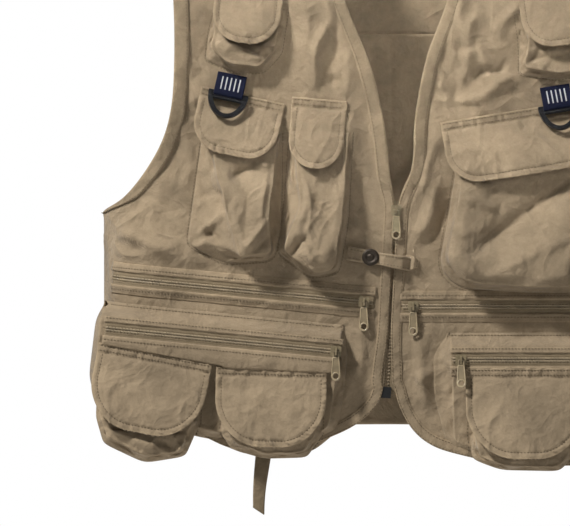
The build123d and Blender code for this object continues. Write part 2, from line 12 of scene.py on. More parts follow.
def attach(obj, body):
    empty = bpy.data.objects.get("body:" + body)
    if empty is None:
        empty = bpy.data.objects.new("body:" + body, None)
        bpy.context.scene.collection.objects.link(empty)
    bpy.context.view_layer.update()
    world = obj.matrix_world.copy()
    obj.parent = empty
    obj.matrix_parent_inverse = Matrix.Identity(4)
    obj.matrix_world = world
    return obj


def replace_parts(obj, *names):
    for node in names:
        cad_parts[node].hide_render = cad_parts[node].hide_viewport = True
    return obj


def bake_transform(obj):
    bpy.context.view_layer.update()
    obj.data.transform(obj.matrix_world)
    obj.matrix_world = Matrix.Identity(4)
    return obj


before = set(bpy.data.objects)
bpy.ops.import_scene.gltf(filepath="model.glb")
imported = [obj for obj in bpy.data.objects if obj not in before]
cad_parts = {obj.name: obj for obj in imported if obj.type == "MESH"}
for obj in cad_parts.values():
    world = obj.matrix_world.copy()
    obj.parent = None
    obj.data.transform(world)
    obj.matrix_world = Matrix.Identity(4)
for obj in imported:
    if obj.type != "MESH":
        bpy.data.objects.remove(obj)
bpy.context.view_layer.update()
MM = 0.001
ROOT = "vest"

# ---------------------------------------------------------------- camera, light and floor
CAMERA_D, VIEW_W, SENSOR = 3200.0, 484.5, 36.0
WORLD_LIGHT = 0.100
LAMPS = {  # where it hangs, what it points at, its size (all in metres) and its power
    "key": ((-1.15, -1.0, 1.15), (-0.05, -0.05, -0.35), 0.26, 64.0),
    "fill": ((1.5, -2.0, -0.2), (0, 0, -0.4), 1.6, 2.5),
    "back": ((1.2, 2.2, 1.0), (0, 0, -0.3), 1.2, 34.0),
    "neck": ((0.02, -1.5, 0.35), (0.0, 0.0, -0.17), 0.3, 0.2),
}


def add_object(name, data):
    obj = bpy.data.objects.new(name, data)
    bpy.context.scene.collection.objects.link(obj)
    return obj


def make_camera():
    data = bpy.data.cameras.new("camera")
    data.sensor_width = SENSOR
    data.lens = SENSOR * CAMERA_D / VIEW_W
    data.clip_start, data.clip_end = 0.1, 50.0
    cam = add_object("camera", data)
    cam.location = (-0.089, -0.085 - CAMERA_D * MM, -0.386)
    cam.rotation_euler = (math.radians(90), 0, 0)
    bpy.context.scene.camera = cam


def make_world():
    """A backdrop that looks white, and lights the vest less than it shows."""
    world = bpy.data.worlds.new("world")
    bpy.context.scene.world = world
    world.use_nodes = True
    tree = world.node_tree
    shade = tree.nodes["Background"]
    shade.inputs["Color"].default_value = (1.0, 1.0, 1.0, 1)
    seen = tree.nodes.new("ShaderNodeLightPath").outputs["Is Camera Ray"]
    strength = tree.nodes.new("ShaderNodeMapRange")
    strength.inputs["To Min"].default_value = WORLD_LIGHT
    strength.inputs["To Max"].default_value = 1.0
    tree.links.new(seen, strength.inputs["Value"])
    tree.links.new(strength.outputs["Result"], shade.inputs["Strength"])
    bpy.context.scene.view_settings.view_transform = "Standard"


def make_lamps():
    for name, (place, aim, size, power) in LAMPS.items():
        data = bpy.data.lights.new(name, "AREA")
        data.size, data.energy = size, power
        lamp = add_object(name, data)
        lamp.location = place
        lamp.rotation_euler = (Vector(aim) - Vector(place)).to_track_quat("-Z", "Y").to_euler()
    bpy.data.lights["neck"].spread = math.radians(16)


def make_floor(half=6, z=-1.1):
    mesh = bpy.data.meshes.new("floor")
    corners = [(-half, -half, z), (half, -half, z), (half, half, z), (-half, half, z)]
    mesh.from_pydata(corners, [], [(0, 1, 2, 3)])
    mat = bpy.data.materials.new("pale_floor")
    mat.use_nodes = True
    mat.node_tree.nodes["Principled BSDF"].inputs["Base Color"].default_value = (0.9, 0.9, 0.9, 1)
    mesh.materials.append(mat)
    add_object("floor", mesh)


make_camera()
make_world()
make_lamps()
make_floor()


# ---------------------------------------------------------------- noise and small maths
def cell(ix, iy, seed):
    h = (ix * 374761393 + iy * 668265263 + seed * 974634777) & 0xFFFFFFFF
    h = ((h ^ (h >> 13)) * 1274126177) & 0xFFFFFFFF
    return ((h ^ (h >> 16)) & 0xFFFFFF) / float(0x7FFFFF) - 1.0


def noise2(x, y, seed):
    """Smooth value noise from -1 to 1 on arrays."""
    fx, fy = np.floor(x), np.floor(y)
    ix, iy = fx.astype(np.int64), fy.astype(np.int64)
    u, v = x - fx, y - fy
    u, v = u * u * u * (u * (u * 6 - 15) + 10), v * v * v * (v * (v * 6 - 15) + 10)
    low = cell(ix, iy, seed) * (1 - u) + cell(ix + 1, iy, seed) * u
    high = cell(ix, iy + 1, seed) * (1 - u) + cell(ix + 1, iy + 1, seed) * u
    return low * (1 - v) + high * v


def fbm(x, y, size, seed, octaves=3):
    total, gain = 0.0, 1.0
    for k in range(octaves):
        total = total + gain * noise2(x / size * 2 ** k + 17.3 * k, y / size * 2 ** k - 9.1 * k, seed + k)
        gain *= 0.5
    return total


def folds(x, y, size, stretch, angle, seed, sharp=3.0):
    """Long thin ridges running along `angle` degrees, from 0 to 1, bent by a slower noise."""
    a = math.radians(angle)
    bend = 0.9 * size * fbm(x, y, 3.1 * size, seed + 50, 2)
    along, across = x * math.cos(a) + y * math.sin(a), -x * math.sin(a) + y * math.cos(a) + bend
    n = noise2(along / (size * stretch), across / size, seed)
    return (1 - np.abs(n)) ** sharp


def smooth(x, a, b):
    t = np.clip((x - a) / (b - a), 0, 1)
    return t * t * (3 - 2 * t)


def bell(x, centre, width):
    return np.exp(-((x - centre) / width) ** 2)


def unit(v):
    return v / np.maximum(np.linalg.norm(v, axis=-1, keepdims=True), 1e-9)


def circle(n):
    """Angles spread evenly round a circle."""
    return np.linspace(0, 2 * math.pi, n, endpoint=False)


def run_along(line):
    """How far along a line each of its points is."""
    return np.r_[0, np.cumsum(np.linalg.norm(np.diff(line, axis=0), axis=1))]


def resample(line, n):
    step = run_along(line)
    s = np.linspace(0, step[-1], n)
    return np.stack([np.interp(s, step, column) for column in line.T], 1)


def even(line, rounds, middle=2):
    """Smooths a line in place: each point moves towards the mean of its neighbours."""
    for _ in range(rounds):
        line[1:-1] = (line[:-2] + middle * line[1:-1] + line[2:]) / (middle + 2)
    return line


def curve(points, n=200):
    """A Catmull-Rom curve through the points, evenly sampled by length."""
    p = np.array(points, float)
    p = np.vstack([2 * p[0] - p[1], p, 2 * p[-1] - p[-2]])
    t = np.linspace(0, 1, 40, endpoint=False)[:, None]
    out = []
    for a, b, c, d in zip(p[:-3], p[1:-2], p[2:-1], p[3:]):
        cubic = (3 * b - a - 3 * c + d) * t ** 3
        out.append(0.5 * (2 * b + (c - a) * t + (2 * a - 5 * b + 4 * c - d) * t ** 2 + cubic))
    return resample(np.vstack(out + [p[-2:-1]]), n)


# ---------------------------------------------------------------- materials
def node_material(name):
    mat = bpy.data.materials.new(name)
    mat.use_nodes = True
    tree = mat.node_tree
    coords = tree.nodes.new("ShaderNodeTexCoord").outputs["Object"]
    return mat, tree, tree.nodes["Principled BSDF"], coords


def feed(tree, socket, value):
    """Sets a socket to a number or a colour, or links another node's output to it."""
    if isinstance(value, (int, float)):
        socket.default_value = value
    elif isinstance(value, tuple):
        socket.default_value = (*value, 1)
    else:
        tree.links.new(value, socket)


def ramp(tree, source, stops):
    node = tree.nodes.new("ShaderNodeValToRGB")
    elements = node.color_ramp.elements
    while len(elements) < len(stops):
        elements.new(0.5)
    for element, (where, colour) in zip(elements, stops):
        element.position = where
        element.color = (*colour, 1)
    feed(tree, node.inputs["Fac"], source)
    return node.outputs["Color"]


def texture(tree, kind, coords, scale, **settings):
    node = tree.nodes.new(kind)
    feed(tree, node.inputs["Vector"], coords)
    node.inputs["Scale"].default_value = scale
    for key, value in settings.items():
        if key in node.inputs:
            node.inputs[key].default_value = value
        else:
            setattr(node, key, value)
    return node.outputs["Fac"]


def noise(tree, coords, scale, detail, **settings):
    return texture(tree, "ShaderNodeTexNoise", coords, scale, Detail=detail, **settings)


def math_node(tree, op, a, b):
    node = tree.nodes.new("ShaderNodeMath")
    node.operation = op
    feed(tree, node.inputs[0], a)
    feed(tree, node.inputs[1], b)
    return node.outputs[0]


def shade(tree, share, base, source, stops):
    """Multiplies a colour by a ramp's colour, as much as `share` says."""
    node = tree.nodes.new("ShaderNodeMix")
    node.data_type, node.blend_type = "RGBA", "MULTIPLY"
    for index, value in ((0, share), (6, base), (7, ramp(tree, source, stops))):
        feed(tree, node.inputs[index], value)
    return node.outputs[2]


def finish_material(tree, shader, height, strength, distance, **values):
    bump = tree.nodes.new("ShaderNodeBump")
    bump.inputs["Strength"].default_value = strength
    bump.inputs["Distance"].default_value = distance * MM
    feed(tree, bump.inputs["Height"], height)
    feed(tree, shader.inputs["Normal"], bump.outputs["Normal"])
    for key, value in values.items():
        shader.inputs[key.replace("_", " ")].default_value = value


def cloth(name, colour, weave=0.75, fade=0.2, sheen=0.12, crease=10.5):
    """Twill: diagonal ribs, slubs, slow fading, and worn, lighter cloth where `edge` is small."""
    mat, tree, shader, coords = node_material(name)

    def threads(period, wander, direction):
        scale = 2 * math.pi / (10 * period * MM)
        return texture(tree, "ShaderNodeTexWave", coords, scale, Distortion=wander, bands_direction=direction)

    def ridge(source):
        return math_node(tree, "ABSOLUTE", math_node(tree, "SUBTRACT", source, 0.5), 0.0)

    ribs, cross = threads(weave, 0.8, "DIAGONAL"), threads(weave * 0.6, 0.5, "Z")
    slub = noise(tree, coords, 900.0, 4.0)
    slow = noise(tree, coords, 16.0, 5.0, Roughness=0.6)
    mid = noise(tree, coords, 120.0, 4.0, Roughness=0.6)
    crumple = noise(tree, coords, 30.0, 4.0, Roughness=0.45, Distortion=0.7)
    small = noise(tree, coords, 78.0, 3.0, Roughness=0.5, Distortion=0.4)
    dark, light = (tuple(min(1.0, c * (1 + change)) for c in colour) for change in (-fade, fade))
    base = ramp(tree, slow, [(0.32, dark), (0.68, light)])
    base = shade(tree, 0.5, base, mid, [(0.3, (0.78, 0.765, 0.73)), (0.65, (1.08, 1.08, 1.07))])
    base = shade(tree, 0.6, base, math_node(tree, "MULTIPLY", ribs, slub),
                 [(0.0, (0.62, 0.6, 0.56)), (0.5, (1, 1, 1))])
    edge = tree.nodes.new("ShaderNodeAttribute")
    edge.attribute_name = "edge"
    base = shade(tree, 1.0, base, math_node(tree, "DIVIDE", edge.outputs["Fac"], 10.0),
                 [(0.0, (1.16, 1.15, 1.13)), (0.12, (1.06, 1.06, 1.05)), (0.2, (1, 1, 1)), (0.9, (1, 1, 1))])
    feed(tree, shader.inputs["Base Color"], base)
    height = 0.0
    for source, share in ((ribs, 0.10), (cross, 0.04), (slub, 0.10), (mid, 0.5), (ridge(crumple), -crease),
                          (ridge(small), -0.35 * crease)):
        height = math_node(tree, "ADD", height, math_node(tree, "MULTIPLY", source, share))
    finish_material(tree, shader, height, 0.6, 1.0, Roughness=0.9, Sheen_Weight=sheen, Sheen_Roughness=0.5,
                    Specular_IOR_Level=0.15)
    return mat


def hard(name, colour, rough, metallic=0.0, coat=0.0, gloss=0.5):
    """Paint, plastic or metal with fine orange peel, uneven gloss and slow dirt."""
    mat, tree, shader, coords = node_material(name)
    fine, slow = noise(tree, coords, 700.0, 3.0), noise(tree, coords, 150.0, 4.0)
    dirty = tuple(c * 0.75 for c in colour)
    feed(tree, shader.inputs["Base Color"], ramp(tree, slow, [(0.35, dirty), (0.6, colour)]))
    spread = ramp(tree, fine, [(0.3, (rough * 0.8,) * 3), (0.7, (min(1, rough * 1.25),) * 3)])
    feed(tree, shader.inputs["Roughness"], spread)
    finish_material(tree, shader, fine, 0.2, 0.2, Metallic=metallic, Coat_Weight=coat,
                    Specular_IOR_Level=gloss)
    return mat


CLOTHS = {
    "twill": dict(colour=(0.305, 0.233, 0.151)),
    "binding": dict(colour=(0.285, 0.218, 0.140), weave=0.6),
    # a darker copy of the binding for the hem loop: painted shade, for the shade the loop hangs in under the
    # hem
    "painted_shade_tape": dict(colour=(0.215, 0.163, 0.102), weave=0.6),
    "lining": dict(colour=(0.33, 0.262, 0.168), weave=0.5),
    "zip_tape": dict(colour=(0.235, 0.180, 0.112), weave=0.9, fade=0.06, crease=0.0),
    # the thread is darker than the cloth: painted shade of the grooves the stitches lie in
    "thread": dict(colour=(0.15, 0.112, 0.066), weave=0.25, fade=0.08, crease=0.0),
    "webbing": dict(colour=(0.006, 0.008, 0.026), weave=1.3, fade=0.1, sheen=0.05, crease=0.0),
    "stripe": dict(colour=(0.50, 0.50, 0.52), weave=1.3, fade=0.05, crease=0.0),
    "loop_pile": dict(colour=(0.25, 0.2, 0.13), weave=1.6, crease=0.0),
}
HARD = {
    "coil": dict(colour=(0.27, 0.207, 0.125), rough=0.6),
    "slider": dict(colour=(0.235, 0.185, 0.105), rough=0.4, coat=0.15),
    "pull": dict(colour=(0.245, 0.19, 0.112), rough=0.38, coat=0.2),
    "main_pull": dict(colour=(0.27, 0.222, 0.128), rough=0.36, coat=0.25),
    "pull_rim": dict(colour=(0.40, 0.315, 0.19), rough=0.32, coat=0.3),
    "retainer": dict(colour=(0.014, 0.014, 0.014), rough=0.5, gloss=0.3),
    "ring": dict(colour=(0.004, 0.004, 0.005), rough=0.36, gloss=0.25),
    "snap": dict(colour=(0.045, 0.034, 0.024), rough=0.42, metallic=0.7),
}
MATERIALS = {name: cloth(name, **look) for name, look in CLOTHS.items()}
MATERIALS.update({name: hard(name, **look) for name, look in HARD.items()})


# ---------------------------------------------------------------- meshes
TO_FRONT, TO_BACK, UP = (0, -1, 0), (0, 1, 0), (0, 0, 1)
FAR = 20.0          # an `edge` value for points that are nowhere near an edge


def add_mesh(name, verts, faces, material, edge=None, body=ROOT):
    """A smooth piece. `edge` is each point's distance from an edge that wears."""
    mesh = bpy.data.meshes.new(name)
    mesh.from_pydata((np.asarray(verts) * MM).tolist(), [], [tuple(map(int, f)) for f in faces])
    if edge is not None:
        layer = mesh.attributes.new("edge", "FLOAT", "POINT")
        layer.data.foreach_set("value", np.asarray(edge, np.float32).ravel())
    mesh.polygons.foreach_set("use_smooth", [True] * len(mesh.polygons))
    mesh.materials.append(MATERIALS[material])
    obj = add_object(name, mesh)
    if body:
        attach(obj, body)
    return obj


def outward(p, out=TO_FRONT):
    """A grid's normals on the side that `out` points to, and whether they had to be turned."""
    n = np.cross(np.gradient(p, axis=1), np.gradient(p, axis=0))
    n = n / np.maximum(np.linalg.norm(n, axis=2, keepdims=True), 1e-9)
    turned = bool(n.reshape(-1, 3).mean(0) @ np.array(out) < 0)
    return (-n if turned else n), turned


def grid_faces(rows, cols, start=0, flip=False, wrap=False):
    r, c = np.meshgrid(np.arange(rows - 1), np.arange(cols if wrap else cols - 1), indexing="ij")
    a = start + r * cols + c
    b = start + r * cols + (c + 1) % cols
    quad = np.stack([a, b, b + cols, a + cols], -1).reshape(-1, 4)
    return quad[:, ::-1] if flip else quad


def round_faces(rows, cols, closed=False):
    """Faces of a round section swept along a line, with a cap at each end unless the line is closed."""
    faces = [tuple(f) for f in grid_faces(rows, cols, wrap=True)]
    if not closed:
        faces += [tuple(range(cols - 1, -1, -1)), tuple(range((rows - 1) * cols, rows * cols))]
    return faces


def slab(name, p, thick, material, edge=FAR, out=TO_FRONT, body=ROOT):
    """A closed sheet: p is its outer face as rows and columns of points; that face looks to `out`."""
    rows, cols = p.shape[:2]
    count = rows * cols
    n, turned = outward(p, out)
    verts = np.vstack([p.reshape(-1, 3), (p - n * thick).reshape(-1, 3)])
    idx = np.arange(count).reshape(rows, cols)
    ring = np.concatenate([idx[0, :], idx[1:, -1], idx[-1, -2::-1], idx[-2:0:-1, 0]])
    nxt = np.roll(ring, -1)
    rim = np.stack([ring, ring + count, nxt + count, nxt], 1)
    faces = [grid_faces(rows, cols, 0, turned), grid_faces(rows, cols, count, not turned),
             rim[:, ::-1] if turned else rim]
    edge = np.ravel(np.broadcast_to(edge, (rows, cols)))
    return add_mesh(name, verts, np.vstack(faces), material, np.r_[edge, edge], body)


def tree_of(obj):
    verts = [v.co / MM for v in obj.data.vertices]
    return BVHTree.FromPolygons(verts, [tuple(p.vertices) for p in obj.data.polygons])


def lay(tree, x, z, out=TO_FRONT):
    """Points and normals where lines from one side meet a piece. Misses are left out."""
    d = -Vector(out)
    points, normals = [], []
    for px, pz in zip(x, z):
        hit, normal, _, _ = tree.ray_cast(Vector((float(px), 0.0, float(pz))) - d * 400.0, d)
        if hit is not None:
            points.append(tuple(hit))
            normals.append(tuple(normal if normal.dot(d) < 0 else -normal))
    return np.array(points).reshape(-1, 3), np.array(normals).reshape(-1, 3)


# ---------------------------------------------------------------- stitches
STITCHES = {}
PITCH, BINDING_PITCH, STITCH_L, THREAD_R = 2.8, 3.0, 2.0, 0.38


def stitch(key, points, normals, pitch=PITCH):
    """Adds a run of thread stitches along surface points to the group `key`."""
    if len(points) < 4:
        return
    step = run_along(points)
    if step[-1] < 2 * pitch:
        return
    group = STITCHES.setdefault(key, [])

    def at(values, s):
        return np.array([np.interp(s, step, values[:, k]) for k in range(3)])

    for s in np.arange(pitch * 0.5, step[-1] - pitch * 0.5, pitch):
        start, end = at(points, s - STITCH_L / 2), at(points, s + STITCH_L / 2)
        n = unit(at(normals, s))
        if 1e-6 <= np.linalg.norm(end - start) <= 2.2 * STITCH_L:
            group.append((start, end, n, unit(np.cross(end - start, n))))


def build_stitches(key, name, body=ROOT, material="thread"):
    """One piece from a group's stitches: each is a square bar that dips into the cloth at both ends."""
    verts, faces = [], []
    for a, b, n, side in STITCHES[key]:
        start = len(verts)
        mid = (a + b) / 2 + n * THREAD_R * 1.1
        for centre, scale in ((a - n * 0.15, 0.55), (mid, 1.0), (b - n * 0.15, 0.55)):
            for k in range(4):
                ang = math.pi / 4 + k * math.pi / 2
                verts.append(centre + scale * THREAD_R * (math.cos(ang) * side + math.sin(ang) * n))
        for ring in (start, start + 4):
            for k in range(4):
                j = (k + 1) % 4
                faces.append((ring + k, ring + j, ring + 4 + j, ring + 4 + k))
        faces.append((start, start + 3, start + 2, start + 1))
        faces.append((start + 8, start + 9, start + 10, start + 11))
    return add_mesh(name, verts, faces, material, np.full(len(verts), FAR), body)


def seam(key, tree, line, pitch=PITCH):
    """Stitches along an (x, z) line seen from the front, laid on a piece."""
    length = np.linalg.norm(np.diff(line, axis=0), axis=1).sum()
    dense = resample(line, max(8, int(length)))
    points, normals = lay(tree, dense[:, 0], dense[:, 1])
    jumps = np.where(np.linalg.norm(np.diff(points, axis=0), axis=1) > 5.0)[0] + 1
    for p, n in zip(np.split(points, jumps), np.split(normals, jumps)):
        stitch(key, p, n, pitch)


def sew(key, tree, place, u, v, pitch=PITCH):
    """Stitches along a line that is given in a place's own u and v."""
    u, v = np.broadcast_arrays(np.asarray(u, float), v)
    seam(key, tree, place.at(u, v, 0.0)[:, [0, 2]], pitch)


# ---------------------------------------------------------------- the body's surface
FRONT_Y, BACK_Y, FLAT, CORNER, SIDE_END = -80.0, 30.0, 194.0, 52.0, 278.7
ARC = CORNER * math.pi / 2


def front_y(z):
    return FRONT_Y + 57 / 164 * 10 * np.logaddexp(0, (z + 152) / 10)


def back_y(z):
    return BACK_Y - 34 / 154 * 10 * np.logaddexp(0, (z + 142) / 10)


def wrap(t, z, front=True):
    """The body's surface at arc length t from the centre line and height z."""
    a = np.abs(t)
    ang = np.clip((a - FLAT) / CORNER, 0, math.pi / 2)
    x = np.minimum(a, FLAT) + CORNER * np.sin(ang)
    depth = CORNER * (1 - np.cos(ang)) + np.maximum(a - FLAT - ARC, 0)
    y = front_y(z) + depth if front else back_y(z) - depth
    return np.stack([np.sign(t) * x, y, z + 0 * t], -1)


def zip_x(z):
    return 6.0 - 9.0 * (-333.0 - z) / 164.0


def zip_gap(z):
    """Half the gap between the front edges: they part below."""
    return 1.1 + 3.2 * smooth(-z, 440, 493)


NECK = {-1: [(0, -333), (-2, -300), (-7, -262), (-18, -217), (-39, -164), (-63, -90), (-88, 20)],
        1: [(12, -333), (21, -300), (23, -262), (33, -211), (50, -164), (70, -90), (88, 20)]}
ARM = [(278.7, -343), (262, -341), (228.5, -330), (203, -302), (187, -266), (182, -217), (184, -140),
       (196, -10), (198, 10)]
HEM = {-1: [(-4.6, -491), (-10, -506), (-25, -521), (-45, -532), (-76, -543), (-115, -549), (-140, -542),
            (-165, -532), (-205, -529), (-250, -529), (-278.7, -530)],
       1: [(3.9, -491), (8.5, -508), (19, -527), (34, -540), (55, -548), (93, -556), (136, -559), (200, -555),
           (245, -546), (278.7, -538)]}


def inner_edge(side, z):
    neck = curve(NECK[side], 300)[::-1]
    neck = neck[np.argsort(neck[:, 1])]
    on_neck = np.interp(z, neck[:, 1], neck[:, 0])
    by_zip = zip_x(z) + side * zip_gap(z)
    return by_zip + (on_neck - by_zip) * smooth(z, -346, -308)


def arm_edge(z):
    line = curve(ARM, 400)
    line = line[np.argsort(line[:, 1])]
    return np.interp(z, line[:, 1], line[:, 0], left=SIDE_END)


def shoulder(a, inner=88.0, outer=196.0):
    x = inner + (outer - inner) * a
    return x, 7.0 - 43.0 * (x - 88) / 107.0


def ridges(u, v, lines, wander, power, fade):
    """Creases placed one by one: from one point to another, with a height (below 0 a valley) and a width."""
    total = np.zeros_like(u)
    for u0, v0, u1, v1, height, width in lines:
        du, dv = u1 - u0, v1 - v0
        length = math.hypot(du, dv)
        s = ((u - u0) * du + (v - v0) * dv) / length ** 2
        d = (-(u - u0) * dv + (v - v0) * du) / length + wander * np.sin(2.2 * math.pi * s + u0)
        ends = smooth(s, fade[0], fade[1]) * (1 - smooth(s, fade[2], fade[3]))
        total = total + height * np.exp(-np.abs(d / width) ** power) * ends
    return total


def bumps(t, z, lines):
    """Soft creases that wander a little."""
    return ridges(t, z, lines, 3, 1.5, (-0.15, 0.25, 0.7, 1.15))


def creased(u, v, lines):
    """Sharp, straight creases."""
    return ridges(u, v, lines, 0, 1.05, (-0.12, 0.2, 0.8, 1.12))


# ---------------------------------------------------------------- the pockets' sizes, as in the CAD
# Where the flap is sewn (x, z); the turn of flap and pouch in degrees; the pouch's and the flap's size; the
# pouch's depth; the radius of the flap's corners; and how far the pocket's ground is out from the front.
POCKET_KEYS = ("x", "z", "roll", "bag_roll", "bag_w", "bag_h", "flap_w", "flap_l", "depth", "corner", "out")
POCKET_ROWS = {
    "upper_right": (-118, -148, 7, 4, 62, 75, 58, 50, 17, 24, 0),
    "upper_left": (138, -150, -7, -4, 62, 77, 60, 50, 17, 24, 0),
    "chest_outer_right": (-126, -250.5, 12, 2, 72, 137, 73, 43, 25, 24, 0),
    "chest_inner_right": (-60, -254, 5, 2, 48, 144, 47, 50, 24, 22, 0),
    "chest_left": (107, -264, -9, 0, 118, 144, 127, 46, 28, 26, 0),
    "lower_outer_right": (-200, -470, 11, 4, 88, 82, 98, 58, 20, 38, 14),
    "lower_inner_right": (-100.5, -482, 1.5, 0, 88, 69, 94, 57, 19, 38, 14),
    "lower_inner_left": (114, -482.6, 0, 0, 94, 79, 100, 66, 20, 40, 14),
    "lower_outer_left": (208, -484.8, -2, -1, 80, 72, 82, 60, 18, 34, 14),
}
POCKETS = {name: dict(zip(POCKET_KEYS, row)) for name, row in POCKET_ROWS.items()}


def side_of(name):
    return "right" if POCKETS[name]["x"] < 0 else "left"


# places where the cloth stays flat because something is sewn on it: x, z, half width, half height, slope
QUIET = [(-125, -409, 125, 12, -0.095), (125, -423, 125, 12, 0), (-10, -384, 34, 12, -0.17),
         (2, -415, 14, 100, 0), (-137, -232, 16, 8, -0.2), (143, -242, 16, 8, 0.16)]
QUIET += [(q["x"], q["z"] + 4, q["flap_w"] / 2, 5, -math.tan(math.radians(q["roll"])))
          for q in POCKETS.values() if not q["out"]]


def quiet(t, z):
    keep = np.ones_like(t)
    for x, cz, w, h, slope in QUIET:
        dz = np.abs(z - cz - slope * (t - x)) - h
        dx = np.abs(t - x) - w
        keep = np.minimum(keep, smooth(np.maximum(dx, dz), 0, 12))
    return keep


# creases on the right (-1) and left (1) front
CREASES = {
    -1: [(-95, -60, -70, -150, 2.4, 7), (-60, -110, -44, -190, 2.2, 6), (-40, -200, -28, -300, 2.6, 7),
         (-30, -290, -12, -330, 1.8, 5), (-232, -352, -170, -392, 2.6, 8), (-205, -330, -150, -395, 2.0, 7),
         (-246, -372, -196, -386, 2.0, 6), (-190, -150, -168, -240, 2.2, 8), (-196, -60, -160, -130, 2.2, 8),
         (-175, -250, -172, -330, 1.8, 6), (-40, -345, -22, -400, 2.2, 6), (-52, -176, -68, -238, 4.0, 4.5),
         (-42, -180, -56, -236, -1.6, 5), (-50, -226, -38, -234, -2.5, 4),
         (-76, -80, -70, -225, 6.0, 17), (-48, -255, -26, -330, 3.5, 9), (-236, -362, -182, -374, 3.0, 5),
         (-22, -460, -60, -520, 2.2, 8),
         (-18, -440, -34, -505, 1.8, 6)],
    1: [(95, -60, 76, -150, 2.2, 7), (60, -120, 64, -200, 2.6, 6), (75, -170, 60, -235, 2.2, 5),
        (52, -205, 100, -232, 2.2, 5), (40, -250, 30, -330, 2.6, 6), (34, -300, 14, -350, 3.0, 6),
        (44, -350, 18, -395, 2.4, 6), (45, -316, 17, -376, 4.2, 6), (53, -324, 27, -392, -2.6, 5),
        (14, -470, 36, -512, 2.2, 5), (10, -488, 40, -476, 1.8, 4), (180, -60, 172, -130, 2.2, 8),
        (90, -200, 112, -160, 1.8, 5), (56, -250, 116, -227, 3.4, 5),
        (72, -229, 100, -216, -3.0, 3.5), (64, -205, 86, -213, 2.4, 3), (70, -262, 52, -236, -2.4, 4),
        (16, -440, 40, -520, 2.6, 7), (24, -430, 62, -440, 2.0, 5), (180, -300, 188, -380, 2.0, 8),
        (236, -350, 190, -385, 2.2, 7)],
}


# height, size, stretch, direction and sharpness of the folds, then where they come and go: size, start, end
FOLDS = [(3.6, 38, 3.4, 64, 4, 60, -0.2, 0.7), (2.4, 24, 3.2, 118, 5, 50, 0.0, 0.7),
         (0.8, 11, 3.5, 35, 4, 40, -0.3, 0.5)]
CLOTH_SEED = {-1: 11, 1: 27}
SINK = 0.3          # how far the cloth's outer face lies under the smooth shape


def cloth_height(t, z, seed, creases=(), amount=1.0):
    """How far the cloth stands off its smooth shape."""
    h = 3.2 * fbm(t, z, 80, seed, 2)
    for k, (height, size, stretch, angle, sharp, patch, start, full) in enumerate(FOLDS):
        where = smooth(fbm(t, z, patch, seed + 9 + 10 * k, 2), start, full)
        h = h + height * folds(t, z, size, stretch, angle, seed + 3 + 2 * k, sharp) * where
    h = (h - 1.4) * amount + 1.5 * bumps(t, z, creases)
    return h * quiet(t, z)


def front_height(side, t, z):
    return cloth_height(t, z, CLOTH_SEED[side], CREASES[side])


def ground(x, z):
    """How far the front cloth stands off at x, z."""
    return np.where(x < 0, front_height(-1, x, z), front_height(1, x, z)) - SINK


def chest(x, z):
    """The same, measured from the flat front plane: it falls away where the front turns to the sides."""
    s = np.clip((np.abs(x) - FLAT) / CORNER, 0, 0.985)
    return ground(x, z) - CORNER * (1 - np.sqrt(1 - s * s))


def edge_distance(p):
    """Distance of each grid point from the grid's rim, along the rows and columns."""
    du = np.linalg.norm(np.diff(p, axis=1), axis=2)
    dv = np.linalg.norm(np.diff(p, axis=0), axis=2)
    left = np.pad(np.cumsum(du, 1), ((0, 0), (1, 0)))
    right = left[:, -1:] - left
    top = np.pad(np.cumsum(dv, 0), ((1, 0), (0, 0)))
    bottom = top[-1:, :] - top
    return np.minimum(np.minimum(left, right), np.minimum(top, bottom))


def panel_grid(side, front=True, cols=96):
    """Arc length and height of a panel's points, from the hem up to the shoulder."""
    a = np.linspace(0, 1, cols)
    z_rows = np.r_[np.arange(-440, -346, 3.0), np.arange(-346, -322, 1.3), np.arange(-322, -62, 3.2)]
    if front:
        hem = curve(HEM[side], cols)
        inner = inner_edge(side, z_rows)
    else:
        hem = np.stack([side * SIDE_END * a, -532 + 4 * np.cos(a * math.pi)], 1)
        inner = np.zeros_like(z_rows)
    outer = side * arm_edge(z_rows)
    rows = inner[:, None] + (outer - inner)[:, None] * a
    first = np.stack([rows[0], np.full(cols, z_rows[0])], 1)
    low = [hem + (first - hem) * s for s in np.linspace(0, 1, 32)[:-1]]
    if front:
        sx, sz = shoulder(a)
    else:
        sx, sz = shoulder(a, 0.0)
        sz = np.where(sx < 88, -20 + 27 * (sx / 88) ** 2, sz)
    last = np.stack([rows[-1], np.full(cols, z_rows[-1])], 1)
    tip = np.stack([side * sx, sz], 1)
    high = [last + (tip - last) * s for s in np.linspace(0, 1, 24)[1:]]
    body = np.stack([rows, np.repeat(z_rows[:, None], cols, 1)], -1)
    return np.concatenate([np.array(low), body, np.array(high)])


def roll_over(p, seam_y):
    """Turns the top of a panel over to the shoulder seam, at y = seam_y."""
    for row, share in zip(p[-10:], np.linspace(0, 1, 10) ** 1.5):
        row[:, 1] += (seam_y - row[:, 1]) * share
    return p


def front_panel(label, side):
    tz = panel_grid(side)
    p = roll_over(wrap(tz[..., 0], tz[..., 1]), -13.8)
    edge = edge_distance(p)
    h = front_height(side, tz[..., 0], tz[..., 1]) * smooth(edge, 0, 14)
    p = p + outward(p)[0] * (h[..., None] - SINK)
    obj = slab(f"cloth_front_{label}", p, 1.1, "twill", edge)
    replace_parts(obj, f"front_panel_{label}")
    return obj, p


front_right, right_points = front_panel("right", -1)
front_left, left_points = front_panel("left", 1)


BACK_CREASES = [(0, -25, 3, -330, 1.6, 2.5), (40, -60, 22, -180, 1.8, 7), (-46, -70, -20, -190, 1.8, 7)]


